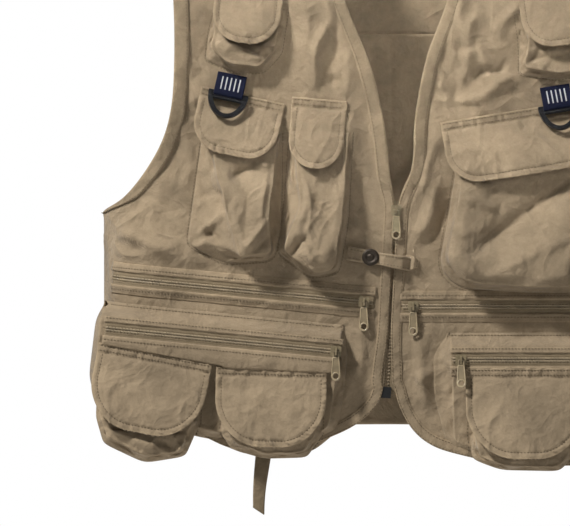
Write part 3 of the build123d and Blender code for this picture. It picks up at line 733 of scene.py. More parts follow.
def back_panels():
    """The back in two cloths that meet at the yoke seam."""
    halves = [panel_grid(side, False) for side in (-1, 1)]
    tz = np.concatenate([halves[0][:, ::-1], halves[1][:, 1:]], 1)
    t, z = tz[..., 0], tz[..., 1]
    p = roll_over(wrap(t, z, False), -13.2)
    h = cloth_height(t, z, 41, amount=1.2) * smooth(edge_distance(p), 0, 14)
    h = h + bumps(t, z, BACK_CREASES)
    p = p + outward(p, TO_BACK)[0] * (h[..., None] - SINK)
    split = int(np.argmin(np.abs(z[:, 96] + 184)))
    parts = []
    for name, node, rows in (("back", "back_panel", p[:split + 1]), ("yoke", "back_yoke", p[split:])):
        parts.append(slab(f"cloth_{name}", rows, 1.1, "twill", edge_distance(rows), TO_BACK))
        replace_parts(parts[-1], node)
    return (*parts, p)


back_low, back_high, back_points = back_panels()


# ---------------------------------------------------------------- bindings and plackets
def sweep_band(name, line, normals, width_dir, half, thick):
    """A folded band round an edge: an oval section swept along a line."""
    ang = circle(18)
    ca, sa = np.cos(ang), np.sin(ang)
    uneven = 1 + 0.075 * noise2(run_along(line) / 9.0, 0.3, 3)
    across = np.sign(ca) * np.abs(ca) ** 0.7 * half[:, None]
    up = np.sign(sa) * np.abs(sa) ** 0.6 * (thick / 2 * uneven)[:, None]
    rings = line[:, None] + across[..., None] * width_dir[:, None] + up[..., None] * normals[:, None]
    edge = np.outer(half, 1 - np.abs(ca) ** 0.7)
    return add_mesh(name, rings.reshape(-1, 3), round_faces(len(line), len(ang)), "binding", edge)


def bind_edge(name, edge_line, inner_line, width, thick, taper=False):
    """A folded binding round an edge, with a row of stitches on each of its faces."""
    n = max(30, int(run_along(edge_line)[-1] / 3.5))
    both = resample(np.hstack([edge_line, inner_line]), n)
    line, inside = both[:, :3], both[:, 3:]
    inward = unit(inside - line)
    normal = even(unit(np.cross(np.gradient(line, axis=0), inward)), 3, 1)
    inward = even(inward, 3, 1)
    slim = 0.12 + 0.88 * smooth(line[:, 2], -334, -312) if taper else np.ones(n)
    centre = line + inward * (width / 2 - 1.5)
    obj = sweep_band(name, centre, normal, inward, (width / 2) * (0.8 + 0.2 * slim), thick * slim)
    tree = tree_of(obj)
    for face in (1, -1):
        points, normals = [], []
        for c, i, m in zip(centre, inward, normal * face):
            start = c + i * (width / 2 - 2.0) + m * 10
            hit = tree.ray_cast(Vector(start), Vector(-m))[0]
            if hit is not None:
                points.append(tuple(hit))
                normals.append(tuple(m))
        stitch("static", np.array(points).reshape(-1, 3), np.array(normals).reshape(-1, 3), BINDING_PITCH)
    return obj


def rows_near(grid, low, col_a, col_b):
    pick = (grid[:, col_a, 2] >= low) & (grid[:, col_a, 2] <= 60)
    return grid[pick, col_a], grid[pick, col_b]


def neck_bindings():
    pieces = [bind_edge(f"neck_binding_{label}", *rows_near(grid, -334, 0, 3), 11.5, 3.4, taper=True)
              for label, grid in (("right", right_points), ("left", left_points))]
    cols = [c for c in range(back_points.shape[1]) if abs(back_points[-1, c, 0]) < 89]
    pieces.append(bind_edge("neck_binding_back", back_points[-1, cols], back_points[-4, cols], 11.5, 3.2))
    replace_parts(pieces[0], "neck_binding")
    return pieces


def armhole(label, grid, col, inner):
    """One binding runs from the shoulder down the front edge, round under the arm and up the back edge."""
    front_edge, front_in = rows_near(grid, -343.5, -1, -4)
    back_edge, back_in = rows_near(back_points, -343.5, col, inner)
    line, inside = np.vstack([front_edge[::-1], back_edge]), np.vstack([front_in[::-1], back_in])
    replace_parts(bind_edge(f"arm_binding_{label}", line, inside, 13.0, 3.2), f"armhole_binding_{label}")


neck_pieces = neck_bindings()
armhole("right", right_points, 0, 3)
armhole("left", left_points, -1, -4)


def front_band(label, side):
    """The folded edge of a front: down beside the zip, round the corner and along the hem."""
    z = np.arange(-316.0, -490.0, -1.5)
    line = np.vstack([np.stack([inner_edge(side, z), z], 1), curve(HEM[side], 240)])
    line = even(resample(line, 400), 6)
    along = unit(np.gradient(line, axis=0))
    inward = np.stack([-along[:, 1], along[:, 0]], 1) * side
    b = np.linspace(0, 1, 13)
    reach = 0.2 + 8.8 * b
    t = line[:, :1] + inward[:, :1] * reach
    height = line[:, 1:] + inward[:, 1:] * reach
    s = np.arange(len(line))[:, None] * 1.05
    puff = 0.75 + 0.35 * (1 - (2 * b - 1) ** 4) - 0.35 * bell(b, 0.14, 0.05) - 0.4 * bell(b, 0.86, 0.06)
    puff = puff + 0.3 * noise2(s / 5.5, 1.5 * b, 5 + side)
    p = wrap(t, height)
    n = outward(p)[0]
    p = p + n * (front_height(side, t, height) * smooth(reach, 0, 14) - SINK + puff)[..., None]
    obj = slab(f"placket_{label}_band", p, 1.1, "twill", 8.8 * np.minimum(b, 1 - b))
    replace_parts(obj, f"placket_{label}")
    for col in (1, 10):
        stitch("static", p[:, col], n[:, col])
    return obj


front_bands = [front_band("right", -1), front_band("left", 1)]


# ---------------------------------------------------------------- local frames on the front
class Place:
    """A frame on the front: u to the wearer's left, v up, w outwards, rolled about w by `roll` degrees."""

    def __init__(self, x, z, roll=0.0, out=0.0):
        r = math.radians(roll)
        self.origin = np.array([x, FRONT_Y - out, z])
        self.u = np.array([math.cos(r), 0, -math.sin(r)])
        self.v = np.array([math.sin(r), 0, math.cos(r)])
        self.w = np.array([0, -1.0, 0])

    def at(self, u, v, w):
        u, v, w = (np.asarray(value)[..., None] for value in (u, v, w))
        return self.origin + u * self.u + v * self.v + w * self.w

    def metres(self, u, v, w):
        return tuple(float(c) * MM for c in self.at(float(u), float(v), float(w)))


FLAP_SLOPE = math.tan(math.radians(18))
STANDOFF, FLAP_T = 0.8, 1.5


def flap_back(v):
    """Height of a flap's back face at v below its hinge."""
    return STANDOFF - v * FLAP_SLOPE


# ---------------------------------------------------------------- pouches
def u_path(points, corners, counts):
    """A U-shaped rim: down the left, along the bottom, up the right, evenly spaced on each part."""
    i, j = corners
    pts = np.array(points, float)
    parts = [resample(pts[:i + 1], counts[0]), resample(pts[i:j + 1], counts[1])[1:],
             resample(pts[j:], counts[2])[1:]]
    return even(np.vstack(parts), 10)


def coons(rim, counts, rim_h):
    """A grid that fills a U-shaped rim, each point's distance from the rim, and the rim's height near it."""
    n, m = counts[0], counts[1]
    left, bottom, right = rim[:n], rim[n - 1:n + m - 1], rim[n + m - 2:][::-1]
    s, t = np.linspace(0, 1, m)[None, :, None], np.linspace(0, 1, n)[:, None, None]
    top = left[0] + (right[0] - left[0]) * s[0]
    sides = (1 - s) * left[:, None] + s * right[:, None]
    ends = (1 - t) * top[None] + t * bottom[None]
    corners = ((1 - s) * (1 - t) * left[0] + s * (1 - t) * right[0] + (1 - s) * t * bottom[0]
               + s * t * bottom[-1])
    uv = sides + ends - corners
    gap = np.linalg.norm(uv[:, :, None, :] - rim[None, None], axis=3)
    weight = 1 / (gap + 0.01) ** 4
    return uv, gap.min(2), (weight * rim_h).sum(2) / weight.sum(2)


def pleat(place, base, rim, panel, inward, rim_h, s, seed, count, tuck, foot, creases=(), crisp=3.2):
    """Rows of points from the sewn outline up to a panel's rim, drawn in like a pleat."""
    rows = []
    uneven = 1 + 1.1 * noise2(s / 17, 1.7, seed + 2)
    for a in np.arange(count) / count:
        draw = tuck * (0.45 * math.sin(math.pi * a) + 1.1 * a ** 3 * (1 - a) * 6)
        uv = base + (rim - base) * a ** 1.15 + inward * (draw * uneven * np.clip(rim_h / 12, 0, 1.2))[:, None]
        crumple = 1.4 * noise2(s / 8, 4.0 * a, seed + 3) * math.sin(math.pi * a)
        crumple = crumple + creased(uv[:, 0], uv[:, 1], creases) * math.sin(math.pi * a) ** 0.5
        rise = 0.45 * a + 0.55 * a ** crisp
        rows.append(place.at(uv[:, 0], uv[:, 1], rim_h * rise + crumple + foot * (1 - a) + 0.25))
    rows.append(np.vstack([panel[:, 0], panel[-1, 1:], panel[::-1, -1][1:]]))
    return np.array(rows)


def shell(name, panel, skirt, far):
    """One welded cloth shell from a panel and the pleat round it."""
    flip = outward(panel)[1]
    n = panel.shape[0] * panel.shape[1]
    verts = np.vstack([panel.reshape(-1, 3), skirt.reshape(-1, 3)])
    rows, cols = skirt.shape[:2]
    faces = np.vstack([grid_faces(*panel.shape[:2], 0, flip), grid_faces(rows, cols, n, not flip)])
    low = np.full((rows, cols), 12.0)
    low[0], low[-1] = 0.5, 0.3
    obj = add_mesh(name, verts, faces, "twill", np.r_[far.ravel() + 0.3, low.ravel()], None)
    work = bmesh.new()
    work.from_mesh(obj.data)
    bmesh.ops.remove_doubles(work, verts=work.verts, dist=0.03 * MM)
    bmesh.ops.recalc_face_normals(work, faces=work.faces)
    if sum(f.normal.y * f.calc_area() for f in work.faces) > 0:
        bmesh.ops.reverse_faces(work, faces=work.faces)
    work.to_mesh(obj.data)
    work.free()
    modifier = obj.modifiers.new("thickness", "SOLIDIFY")
    modifier.thickness, modifier.offset = 1.0 * MM, -1.0
    bpy.context.view_layer.update()
    solid = bpy.data.meshes.new_from_object(obj.evaluated_get(bpy.context.evaluated_depsgraph_get()))
    obj.modifiers.clear()
    obj.data = solid
    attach(obj, ROOT)
    return obj


# For each pouch, in its own frame: the sewn outline and the raised panel's rim, down the left, along the
# bottom and up the right; which points are the bottom corners, if not the third and the fifth; and creases as
# (u0, v0, u1, v1, height, width).
BAGS = {
    "upper_right": dict(
        base=[(-29, -24), (-33, -45), (-34, -68), (-8, -77), (16, -75), (30, -58), (33, -20)],
        rim=[(-25, -24), (-29, -46), (-31, -58), (-14, -70), (12, -71), (24, -57), (28, -20)],
        creases=[(-28, -45, 14, -66, 4.5, 5), (-6, -52, 20, -64, -3.5, 4), (14, -48, 20, -66, 3, 3)]),
    "upper_left": dict(
        base=[(-33, -20), (-31, -50), (-33, -74), (0, -80), (30, -76), (32, -50), (31, -20)],
        rim=[(-27, -20), (-23, -44), (-29, -68), (0, -76), (26, -72), (28, -50), (28, -20)],
        creases=[(-26, -40, 10, -50, 4, 4), (-26, -66, -10, -48, -4, 4), (-22, -62, 24, -58, -3, 5)]),
    "chest_outer_right": dict(
        base=[(-32, -24), (-37, -70), (-42, -121), (-10, -136), (31, -132), (37, -112), (35, -22)],
        rim=[(-28, -26), (-18, -62), (-9, -94), (3, -131), (30, -126), (27, -100), (32, -30)], rim_at=(3, 4),
        side_creases=[(-11, -93, -33, -112, 5.0, 3), (-37, -126, -24, -116, 4.5, 3),
                      (-24, -116, -10, -131, 3.5, 3),
                      (-26, -108, -14, -118, -4.0, 4), (-34, -60, -26, -84, -2.0, 4)],
        creases=[(18, -46, -6, -64, -6.0, 5), (31, -50, 2, -53, 3.6, 3.5), (24, -62, 20, -98, 3.0, 5),
                 (28, -97, 9, -122, 6.5, 3),
                 (30, -110, 15, -127, -5.5, 4), (8, -76, 6, -120, -2.4, 7), (30, -60, 26, -98, 2.6, 4)]),
    "chest_inner_right": dict(
        base=[(-24, -20), (-26, -80), (-31, -124), (-2, -144), (22, -139), (28, -96), (29, -20)],
        rim=[(-21, -22), (-13, -84), (-27, -122), (2, -141), (17, -137), (23, -96), (26, -20)],
        side_creases=[(-24, -50, -15, -86, 2.5, 3), (-26, -96, -16, -86, 3.0, 3)],
        creases=[(-8, -82, -25, -121, 6.0, 3), (-16, -102, 3, -139, 5.0, 3), (-20, -127, -8, -110, -7.5, 4),
                 (-4, -76, 16, -102, -3.2, 2.6), (24, -50, 17, -136, 3.5, 4), (4, -122, 14, -136, 3.0, 3)]),
    "chest_left": dict(
        base=[(-48, -26), (-56, -80), (-64, -118), (-63, -129), (-49, -143), (0, -147), (54, -148), (61, -100),
              (59, -20)], base_at=(4, 6),
        rim=[(-43, -26), (-51, -80), (-59, -117), (-58, -124), (-45, -138), (0, -142), (48, -143), (55, -100),
             (54, -20)], rim_at=(4, 6),
        creases=[(-48, -40, -22, -58, 5.0, 3), (-50, -64, -18, -76, 4.0, 4), (-40, -116, 54, -46, -11.0, 15),
                 (-24, -134, 46, -98, 4.0, 9), (46, -140, 50, -100, 4.5, 3), (-28, -46, -12, -84, -3.0, 7),
                 (-52, -112, -34, -130, 3.0, 4)]),
    "lower_outer_right": dict(
        base=[(-47, -22), (-46, -50), (-38, -72), (-2, -86), (32, -78), (42, -50), (41, -26)],
        rim=[(-42, -22), (-42, -50), (-34, -66), (0, -80), (27, -74), (36, -48), (37, -26)],
        creases=[(-36, -58, 10, -72, 2.8, 6), (8, -66, 26, -74, -4, 4), (22, -60, 30, -76, 3, 3),
                 (30, -34, 26, -62, 3, 4)]),
    "lower_inner_right": dict(
        base=[(-41, -26), (-43, -48), (-34, -62), (-6, -70), (30, -69), (43, -50), (43, -24)],
        rim=[(-37, -26), (-38, -46), (-28, -58), (-4, -66), (27, -64), (38, -48), (39, -24)],
        creases=[(-34, -50, 0, -63, 2.4, 5), (30, -34, 34, -60, 3, 4)]),
    "lower_inner_left": dict(
        base=[(-46, -24), (-47, -50), (-44, -70), (-20, -79), (30, -80), (46, -62), (46, -24)],
        rim=[(-41, -24), (-42, -50), (-38, -68), (-16, -75), (28, -76), (41, -60), (41, -24)],
        creases=[(-36, -70, 20, -73, 2.0, 5), (-42, -34, -38, -66, 2.5, 3)]),
    "lower_outer_left": dict(
        base=[(-39, -24), (-40, -48), (-34, -66), (0, -73), (30, -70), (39, -50), (39, -24)],
        rim=[(-34, -24), (-35, -46), (-30, -61), (0, -69), (27, -65), (34, -48), (34, -24)],
        creases=[(-30, -54, 10, -64, 2.4, 5), (16, -50, 30, -62, -2.6, 4)]),
}
TOP_V = -22.0       # where a pouch's open top is, in its own frame
POUCH_COUNTS = (46, 34, 46)


def outline(name, key):
    """A pouch's sewn outline ("base") or its raised panel's rim ("rim")."""
    return u_path(BAGS[name][key], BAGS[name].get(f"{key}_at", (2, 4)), POUCH_COUNTS)


def panel_height(name, u, v):
    """How far the front of a pouch stands off the vest."""
    q = POCKETS[name]
    seed = 100 + 7 * list(POCKETS).index(name)
    # the flap's line is turned against the pouch, so its back is lower on one side
    turn = math.radians(q["roll"] - q["bag_roll"])
    under_v = v * math.cos(turn) + u * math.sin(turn)
    under = flap_back(np.minimum(under_v, 0)) - 2.0
    swell = q["depth"] * (0.80 + 0.20 * smooth(-v, q["flap_l"], 0.72 * q["bag_h"]))
    h = -8 * np.log(np.exp(-swell / 8) + np.exp(-np.maximum(under + 2.5, 0.5) / 8)) - 0.4
    relief = creased(u, v, BAGS[name]["creases"]) + 2.0 * fbm(u, v, 42, seed, 2)
    relief = relief + 2.2 * folds(u, v, 26, 3, 100, seed + 3, 4)
    relief = relief + 1.2 * folds(u, v, 14, 3, 60, seed + 6, 5) - 1.6
    free = smooth(-under_v, q["flap_l"] - 12, q["flap_l"] + 12)
    h = h + 1.15 * relief * (0.25 + 0.75 * free)
    ceiling = np.where(-under_v < q["flap_l"] + 2, under, q["depth"] + 8.0)
    return np.clip(np.minimum(h, ceiling), 0.8, None)


def pouch(name):
    q, bag = POCKETS[name], BAGS[name]
    place = Place(q["x"], q["z"], q["bag_roll"], q["out"])
    base, rim = outline(name, "base"), outline(name, "rim")
    seed = 300 + 11 * list(POCKETS).index(name)
    s = np.arange(len(rim)) * 2.0
    rim = rim + 0.7 * np.stack([noise2(s / 11, 0.5, seed), noise2(s / 13, 7.5, seed)], 1)
    middle = np.array([(rim[0, 0] + rim[-1, 0]) / 2, 0.5 * (rim[:, 1].min() + TOP_V)])
    rim_h = panel_height(name, rim[:, 0], rim[:, 1]) * (0.84 + 0.12 * noise2(s / 15, 3.3, seed + 1))
    uv, far, near_h = coons(rim, POUCH_COUNTS, rim_h)
    inside = smooth(far, 0, 8)
    h = near_h * (1 - inside) + panel_height(name, uv[..., 0], uv[..., 1]) * inside
    panel = place.at(uv[..., 0], uv[..., 1], h + 0.9 * bell(far, 0.9, 1.0) + 0.25)
    feet = place.at(base[:, 0], base[:, 1], 0.0)
    foot = ground(feet[:, 0], feet[:, 2]) if q["out"] == 0 else -1.2
    skirt = pleat(place, base, rim, panel, unit(middle - rim), rim_h, s, seed, 20, 2.6, foot,
                  bag.get("side_creases", ()), 5.5)
    obj = shell(f"{name}_bag", panel, skirt, far)
    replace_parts(obj, f"{name}_pouch")
    # the row of stitches that holds the pouch, seen beside it
    return obj, place, base + (base - middle) * 0.03


# ---------------------------------------------------------------- the lower bellows pockets
BELLOWS_DEPTH, BELLOWS_COUNTS = 12.9, (44, 90, 44)
BELLOWS = {  # its frame, the line of its zip, its top edge, and outlines as for the pouches
    "right": dict(place=(-145, -475, 5.65), zip_v=23.6, seed=700, top=47.5, base_at=(3, 8), rim_at=(3, 8),
                  base=[(-103.5, 46.6), (-111, 30), (-112, -20), (-102, -46), (-24, -59), (22, -64), (56, -69),
                        (86, -64), (106, -44), (108, 20), (101.5, 46.6)],
                  rim=[(-103, 46.5), (-105, 28), (-104, -16), (-96, -39), (-24, -52), (22, -56), (54, -61),
                       (80, -56), (98, -40), (101, 20), (101, 46.5)]),
    "left": dict(place=(150, -500, 0.0), zip_v=32.0, seed=760, top=56.0, base_at=(3, 6), rim_at=(3, 6),
                 base=[(-99.5, 54.8), (-113, 36), (-112, 0), (-100, -44), (-60, -54), (0, -57), (80, -46),
                       (98, -34), (106, 10), (100.5, 55.6)],
                 rim=[(-99, 54.5), (-98, 36), (-97, -2), (-96, -38), (-60, -49), (0, -52), (76, -41), (92, -29),
                      (100, 10), (100, 55.5)]),
}


def bellows(side):
    """The big lower pocket: a shallow bag with a pleated side, sewn flat along its top."""
    data = BELLOWS[side]
    place, seed = Place(*data["place"]), data["seed"]
    base, rim = (u_path(data[key], data[f"{key}_at"], BELLOWS_COUNTS) for key in ("base", "rim"))
    s = np.arange(len(rim)) * 1.8
    at_rim, feet = place.at(rim[:, 0], rim[:, 1], 0.0), place.at(base[:, 0], base[:, 1], 0.0)
    rise = smooth(data["top"] - rim[:, 1], 3, 15)
    rim_h = BELLOWS_DEPTH * rise + (1 - rise) * chest(at_rim[:, 0], at_rim[:, 2])
    uv, far, _ = coons(rim, BELLOWS_COUNTS, rim_h)
    u, v = uv[..., 0], uv[..., 1]
    roof = smooth(data["top"] - v, 3, 15)
    relief = 1.3 * fbm(u, v, 50, seed + 5, 3) + 1.6 * folds(u, v, 26, 4, 4, seed + 8, 4) - 0.9
    near_zip = np.exp(-((v - data["zip_v"]) / 16) ** 4)
    h = BELLOWS_DEPTH * roof + relief * roof * (1 - near_zip) * smooth(far, 0, 10)
    h = np.where(near_zip > 0.35, np.minimum(h, BELLOWS_DEPTH - 0.2), h)
    flat = place.at(u, v, 0.0)
    h = h + 0.3 + 0.6 * bell(far, 0.9, 1.1) * roof + (1 - roof) * chest(flat[..., 0], flat[..., 2])
    panel = place.at(u, v, h)
    skirt = pleat(place, base, rim, panel, unit(np.array([0.0, -8.0]) - rim), rim_h + 0.01, s, seed, 14, 4.6,
                  chest(feet[:, 0], feet[:, 2]))
    obj = shell(f"bellows_{side}", panel, skirt, far)
    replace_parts(obj, f"bellows_pocket_{side}")
    return obj


bellow_pieces = {side: bellows(side) for side in ("right", "left")}
pouches = {name: pouch(name) for name in POCKETS}


# ---------------------------------------------------------------- flaps
def rounded_distance(u, v, half, length, r):
    """Distance inside a flap's outline: straight sides, round lower corners."""
    du, dv = np.abs(u) - (half - r), -v - (length - r)
    corner = r - np.hypot(np.maximum(du, 0), np.maximum(dv, 0))
    return np.where((du > 0) & (dv > 0), corner, np.minimum(half - np.abs(u), v + length))


def sag(u, v, half, length):
    """A flap hangs lower in its middle."""
    return v - 2.0 * (1 - (u / half) ** 2) * smooth(-v, 0.4 * length, length)


def flap_seam_line(half, length, r, inset=4.9):
    """Down one side of a flap, round its corners and up the other, at a constant distance from the edge."""
    straight, bend = length - r - 1.0, r - inset
    arc = math.pi / 2 * bend
    total = 2 * straight + 2 * arc + 2 * (half - r)
    d = np.linspace(0, total, 160)
    mirror = np.where(d > total / 2, -1.0, 1.0)
    d = np.minimum(d, total - d)
    ang = np.clip((d - straight) / bend, 0, math.pi / 2)
    u = -(half - r) - bend * np.cos(ang) + np.maximum(d - straight - arc, 0)
    v = -1.0 - np.minimum(d, straight) - bend * np.sin(ang)
    return u * mirror, sag(u, v, half, length)


def blend_all(pieces, place, fixed, moving):
    """Works out the fixed and moving points in metres, and bakes each piece's transform into its mesh."""
    for piece in pieces:
        place.metres(*fixed)
        place.metres(*moving)
        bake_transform(piece)


def flap(name):
    """A bowed cloth with a puckered, stitched rim, and a flat band above its hinge where it is sewn on."""
    q = POCKETS[name]
    place = Place(q["x"], q["z"], q["roll"], q["out"])
    half, length, r = q["flap_w"] / 2, q["flap_l"], q["corner"]
    seed = 500 + 13 * list(POCKETS).index(name)
    turn = np.linspace(0.02, math.pi / 2, int(r * 1.35))
    rows = np.r_[np.linspace(7.6, -length + r, int((length - r + 8) / 1.1)), -length + r * (1 - np.sin(turn))]
    rows = rows[:, None]
    b = np.linspace(-1, 1, max(40, int(q["flap_w"] / 1.2)))
    fall = np.clip(-rows - (length - r), 0, r)
    u = (half - r + np.sqrt(np.maximum(r * r - fall * fall, 0))) * b
    v = rows - 2.0 * (1 - (u / half) ** 2) * smooth(-rows, 0.4 * length, length)
    e = np.where(rows > -length + r, half - np.abs(u), rounded_distance(u, rows + 0 * u, half, length, r))
    along = np.arctan2(u, -v - length * 0.4) * 40 + v
    hang = flap_back(np.minimum(v, 0)) + FLAP_T
    crown = 3.0 * (1 - (u / half) ** 2) * smooth(-v, 4, 0.55 * length)
    crown = crown * (1 - 0.5 * smooth(-v, 0.75 * length, length))
    relief = 1.5 * fbm(u, v, 36, seed, 3) + 1.3 * folds(u, v, 22, 2.5, 85, seed + 3, 4) - 0.8
    rim = 0.35 * bell(e, 2.2, 1.8) - 0.6 * bell(e, 4.9, 1.0)
    pucker = 1.1 * noise2(along / 3.4, e / 14, seed + 5) * bell(e, 3.2, 2.6)
    curl = np.maximum(noise2(along / 21, 0.0, seed + 7) * bell(e, 0, 7), -0.4)
    loose = smooth(-v, 3, 14)
    w = hang + (crown + relief) * loose + rim * smooth(-v, 1, 5) + pucker + curl * loose
    band = 2.0 + 0.75 * noise2(u / 3.0, v / 16.0, seed + 9) - 0.5 * bell(v, 5.6, 0.7)
    band = band - 0.6 * smooth(v, 6.4, 7.6)
    top = smooth(v, -0.8, 1.2)
    w = w * (1 - top) + band * top - 0.8 * bell(v, -0.6, 1.1)
    edge = np.minimum(e, np.where(v > 0, np.abs(7.6 - v), 30))
    obj = slab(f"{name}_flap_cloth", place.at(u, v, w), 1.2, "twill", edge, body=None)
    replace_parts(obj, f"{name}_flap")
    tree, key = tree_of(obj), f"flap_{name}"
    sew(key, tree, place, *flap_seam_line(half, length, r))
    for level in (1.6, 5.7):
        sew(key, tree, place, (-half + 1.5, half - 1.5), level)
    threads = build_stitches(key, f"{name}_flap_stitches", None)
    blend_all((obj, threads), place, (0, 1.0, 1.5), (0, -3.5, 1.5))
    return obj


flaps = {name: flap(name) for name in POCKETS}
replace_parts(flaps["upper_right"], "flap_bands")


# ---------------------------------------------------------------- zips
ZIPS = {
    "upper_right": dict(place=(-12, -420.0, 5.45, 0.0), chain=(-233, -1), rest=-10.0),
    "upper_left": dict(place=(9, -423.0, 0.0, 0.0), chain=(1, 233), rest=11.0),
    "lower_right": dict(place=(-38, -461.6, 5.65, 14.0), chain=(-205, -3), rest=-8.0),
    "lower_left": dict(place=(50, -468.0, 0.0, 14.0), chain=(2, 197), rest=10.0),
}


def on_shell(place, u, v, w):
    """Points beside a zip: on the shell they follow the front's round corner."""
    if place.origin[1] < FRONT_Y:
        return place.at(u, v, w)
    p = place.at(u, v, 0.0)
    a, b = wrap(p[..., 0] - 0.5, p[..., 2]), wrap(p[..., 0] + 0.5, p[..., 2])
    t = b - a
    n = unit(np.stack([t[..., 1], -t[..., 0], 0 * t[..., 0]], -1))
    return wrap(p[..., 0], p[..., 2]) + n * np.asarray(w)[..., None]


def zip_strip(name, place, span, v_a, v_b, w_of, material, thick, seed=1, edge_of=lambda b: b):
    """A strip along a pocket zip, from v_a to v_b (a number, or a function of u), standing w_of(b) high."""
    u = np.linspace(*span, int((span[1] - span[0]) / 2.0))[:, None]
    b = np.linspace(0, 1, 11)
    reach = (v_b(u) if callable(v_b) else v_b) - v_a
    v = v_a + reach * b + 0 * u
    w = w_of(b) + 0.18 * noise2(u / 6.0, v / 5.0, seed)
    return slab(name, on_shell(place, u + 0 * v, v, w), thick, material, edge_of(b) * np.abs(reach))


def teeth(name, frame_at, start, stop, w):
    """The wound coil: a small bent loop of thread for each tooth, from alternate sides."""
    pitch, r = 1.45, 0.50
    verts, faces = [], []
    for k in range(int((stop - start) / pitch)):
        s = start + (k + 0.5) * pitch
        side = 1 if k % 2 else -1
        first = len(verts)
        for across, rise in ((0.4, -0.3), (0.75, 0.3), (1.5, 0.4), (2.3, -0.4)):
            for ang in circle(5):
                verts.append((s + r * math.cos(ang), side * across, w + rise + r * math.sin(ang)))
        faces += [tuple(f) for f in grid_faces(4, 5, first, wrap=True)]
        faces.append(tuple(range(first, first + 5)))
        faces.append(tuple(range(first + 19, first + 14, -1)))
    v = np.array(verts)
    return add_mesh(name, frame_at(v[:, 0], v[:, 1], v[:, 2]), faces, "coil")


def pocket_zip(name):
    """A pocket zip's tapes, coil and backing, and the pocket's folded, stitched edges beside it."""
    place, (u0, u1) = Place(*ZIPS[name]["place"]), ZIPS[name]["chain"]
    on_front = place.origin[1] == FRONT_Y
    tapes = []
    for side, label in ((1, "top"), (-1, "bottom")):
        tapes.append(zip_strip(f"{name}_tape_{label}", place, (u0, u1), side * 1.2, side * 7.4,
                               lambda b: 0.75 - 0.25 * b + 0.22 * np.cos(b * 18), "zip_tape", 0.7, 21 + side))
        end_v, puff = side * (13.4 if on_front or side < 0 else 10.6), 0.0
        if name == "lower_right" and side < 0:
            end_v, puff = lambda u: np.interp(u, [-205, -104, -98, -3], [-13.6, -21.8, -23.5, -18.5]), 1.0

        def welt_height(b):
            flat = 1.55 - 1.35 * smooth(b, 0.25, 1.0) * (1 - puff) + 1.5 * puff * np.sin(2.4 * b)
            return flat - 0.55 * bell(b, 0, 0.10) - 0.35 * bell(b, 0.42, 0.10)

        welt = zip_strip(f"{name}_welt_{label}", place, (u0 - 1.0, u1 + 1.0), side * 5.6, end_v, welt_height,
                         "twill", 1.0, 31 + side, lambda b: np.minimum(b, 1 - b))
        line = place.at(np.array([u0, u1], float), side * 9.2, 0.0)
        line = resample(line[:, [0, 2]], 200)
        if on_front:
            line = line[np.abs(line[:, 0]) < 238]
        seam("static", tree_of(welt), line)
    coil = zip_strip(f"{name}_coil_rows", place, (u0 + 1, u1 - 1), -2.5, 2.5,
                     lambda b: 1.35 - 2.2 * (2 * b - 1) ** 6 - 1.3 * bell(b, 0.5, 0.09), "coil", 0.5, 27)
    teeth(f"{name}_teeth", lambda u, v, w: on_shell(place, u, v, w), u0 + 1, u1 - 1, 0.85)
    zip_strip(f"{name}_backing", place, (u0, u1), -6.5, 6.5, lambda b: -0.55 + 0 * b, "zip_tape", 0.5)
    return tapes[0], coil


zip_pieces = {name: pocket_zip(name) for name in ZIPS}
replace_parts(zip_pieces["upper_right"][0], "pocket_zip_tapes")
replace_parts(zip_pieces["upper_right"][1], "pocket_zip_coils")


def main_zip():
    """The main chain behind the front edges, and its tapes."""
    dx, dz = -9.0, -164.0
    place = Place(6.0, -333.0, math.degrees(math.atan2(-dx, -dz)))
    length = math.hypot(dx, dz)
    coil = teeth("main_teeth", lambda u, v, w: place.at(v, -u, w), 3.4, length - 6, -1.9)
    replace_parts(coil, "main_zip_coils")
    s, b = np.linspace(0, length, 90)[:, None], np.linspace(0, 1, 8)
    w = -2.25 + 0.1 * np.cos(b * 20)
    tapes = [slab(f"main_tape_{label}", place.at(side * (1.4 + 10.4 * b), -s, w), 0.45, "zip_tape")
             for side, label in ((1, "left"), (-1, "right"))]
    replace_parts(tapes[0], "main_zip_tapes")
    return place


main_place = main_zip()


# ---------------------------------------------------------------- CAD hardware that stays, with finer edges
def keep(node, material, bevel):
    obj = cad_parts[node]
    obj.data.materials.clear()
    obj.data.materials.append(MATERIALS[material])
    if bevel:
        modifier = obj.modifiers.new("soft_edges", "BEVEL")
        modifier.width, modifier.segments, modifier.angle_limit = bevel * MM, 2, math.radians(35)
        modifier.limit_method = "ANGLE"
        modifier.use_clamp_overlap = True
    return obj


KEPT = {"main_zip_slider": ("slider", 0.3), "main_zip_pull": ("main_pull", 0.22),
        "main_zip_top_stops": ("slider", 0.2), "main_zip_retainer": ("retainer", 0.4),
        "d_ring_right": ("ring", 0.7), "d_ring_left": ("ring", 0.7), "snap_socket": ("snap", 0.2),
        "snap_stud": ("snap", 0.2), "snap_post": ("snap", 0.2), "loop_patches": ("loop_pile", 0)}
for zip_name in ZIPS:
    KEPT[f"{zip_name}_zip_slider"] = ("slider", 0.3)
    KEPT[f"{zip_name}_zip_pull"] = ("pull", 0.22)
for node, (material, bevel) in KEPT.items():
    keep(node, material, bevel)


def tube(name, line, radius, material, body, closed=False, sides=10):
    """A round bar along points."""
    along = unit(np.roll(line, -1, 0) - np.roll(line, 1, 0) if closed else np.gradient(line, axis=0))
    side = unit(np.cross(along, np.array([0, 1.0, 0.02])))
    up = np.cross(side, along)
    ang = circle(sides)[:, None]
    rings = line[:, None] + radius * (np.cos(ang) * side[:, None] + np.sin(ang) * up[:, None])
    if closed:
        rings = np.concatenate([rings, rings[:1]])
    return add_mesh(name, rings.reshape(-1, 3), round_faces(len(rings), sides, closed), material, None, body)


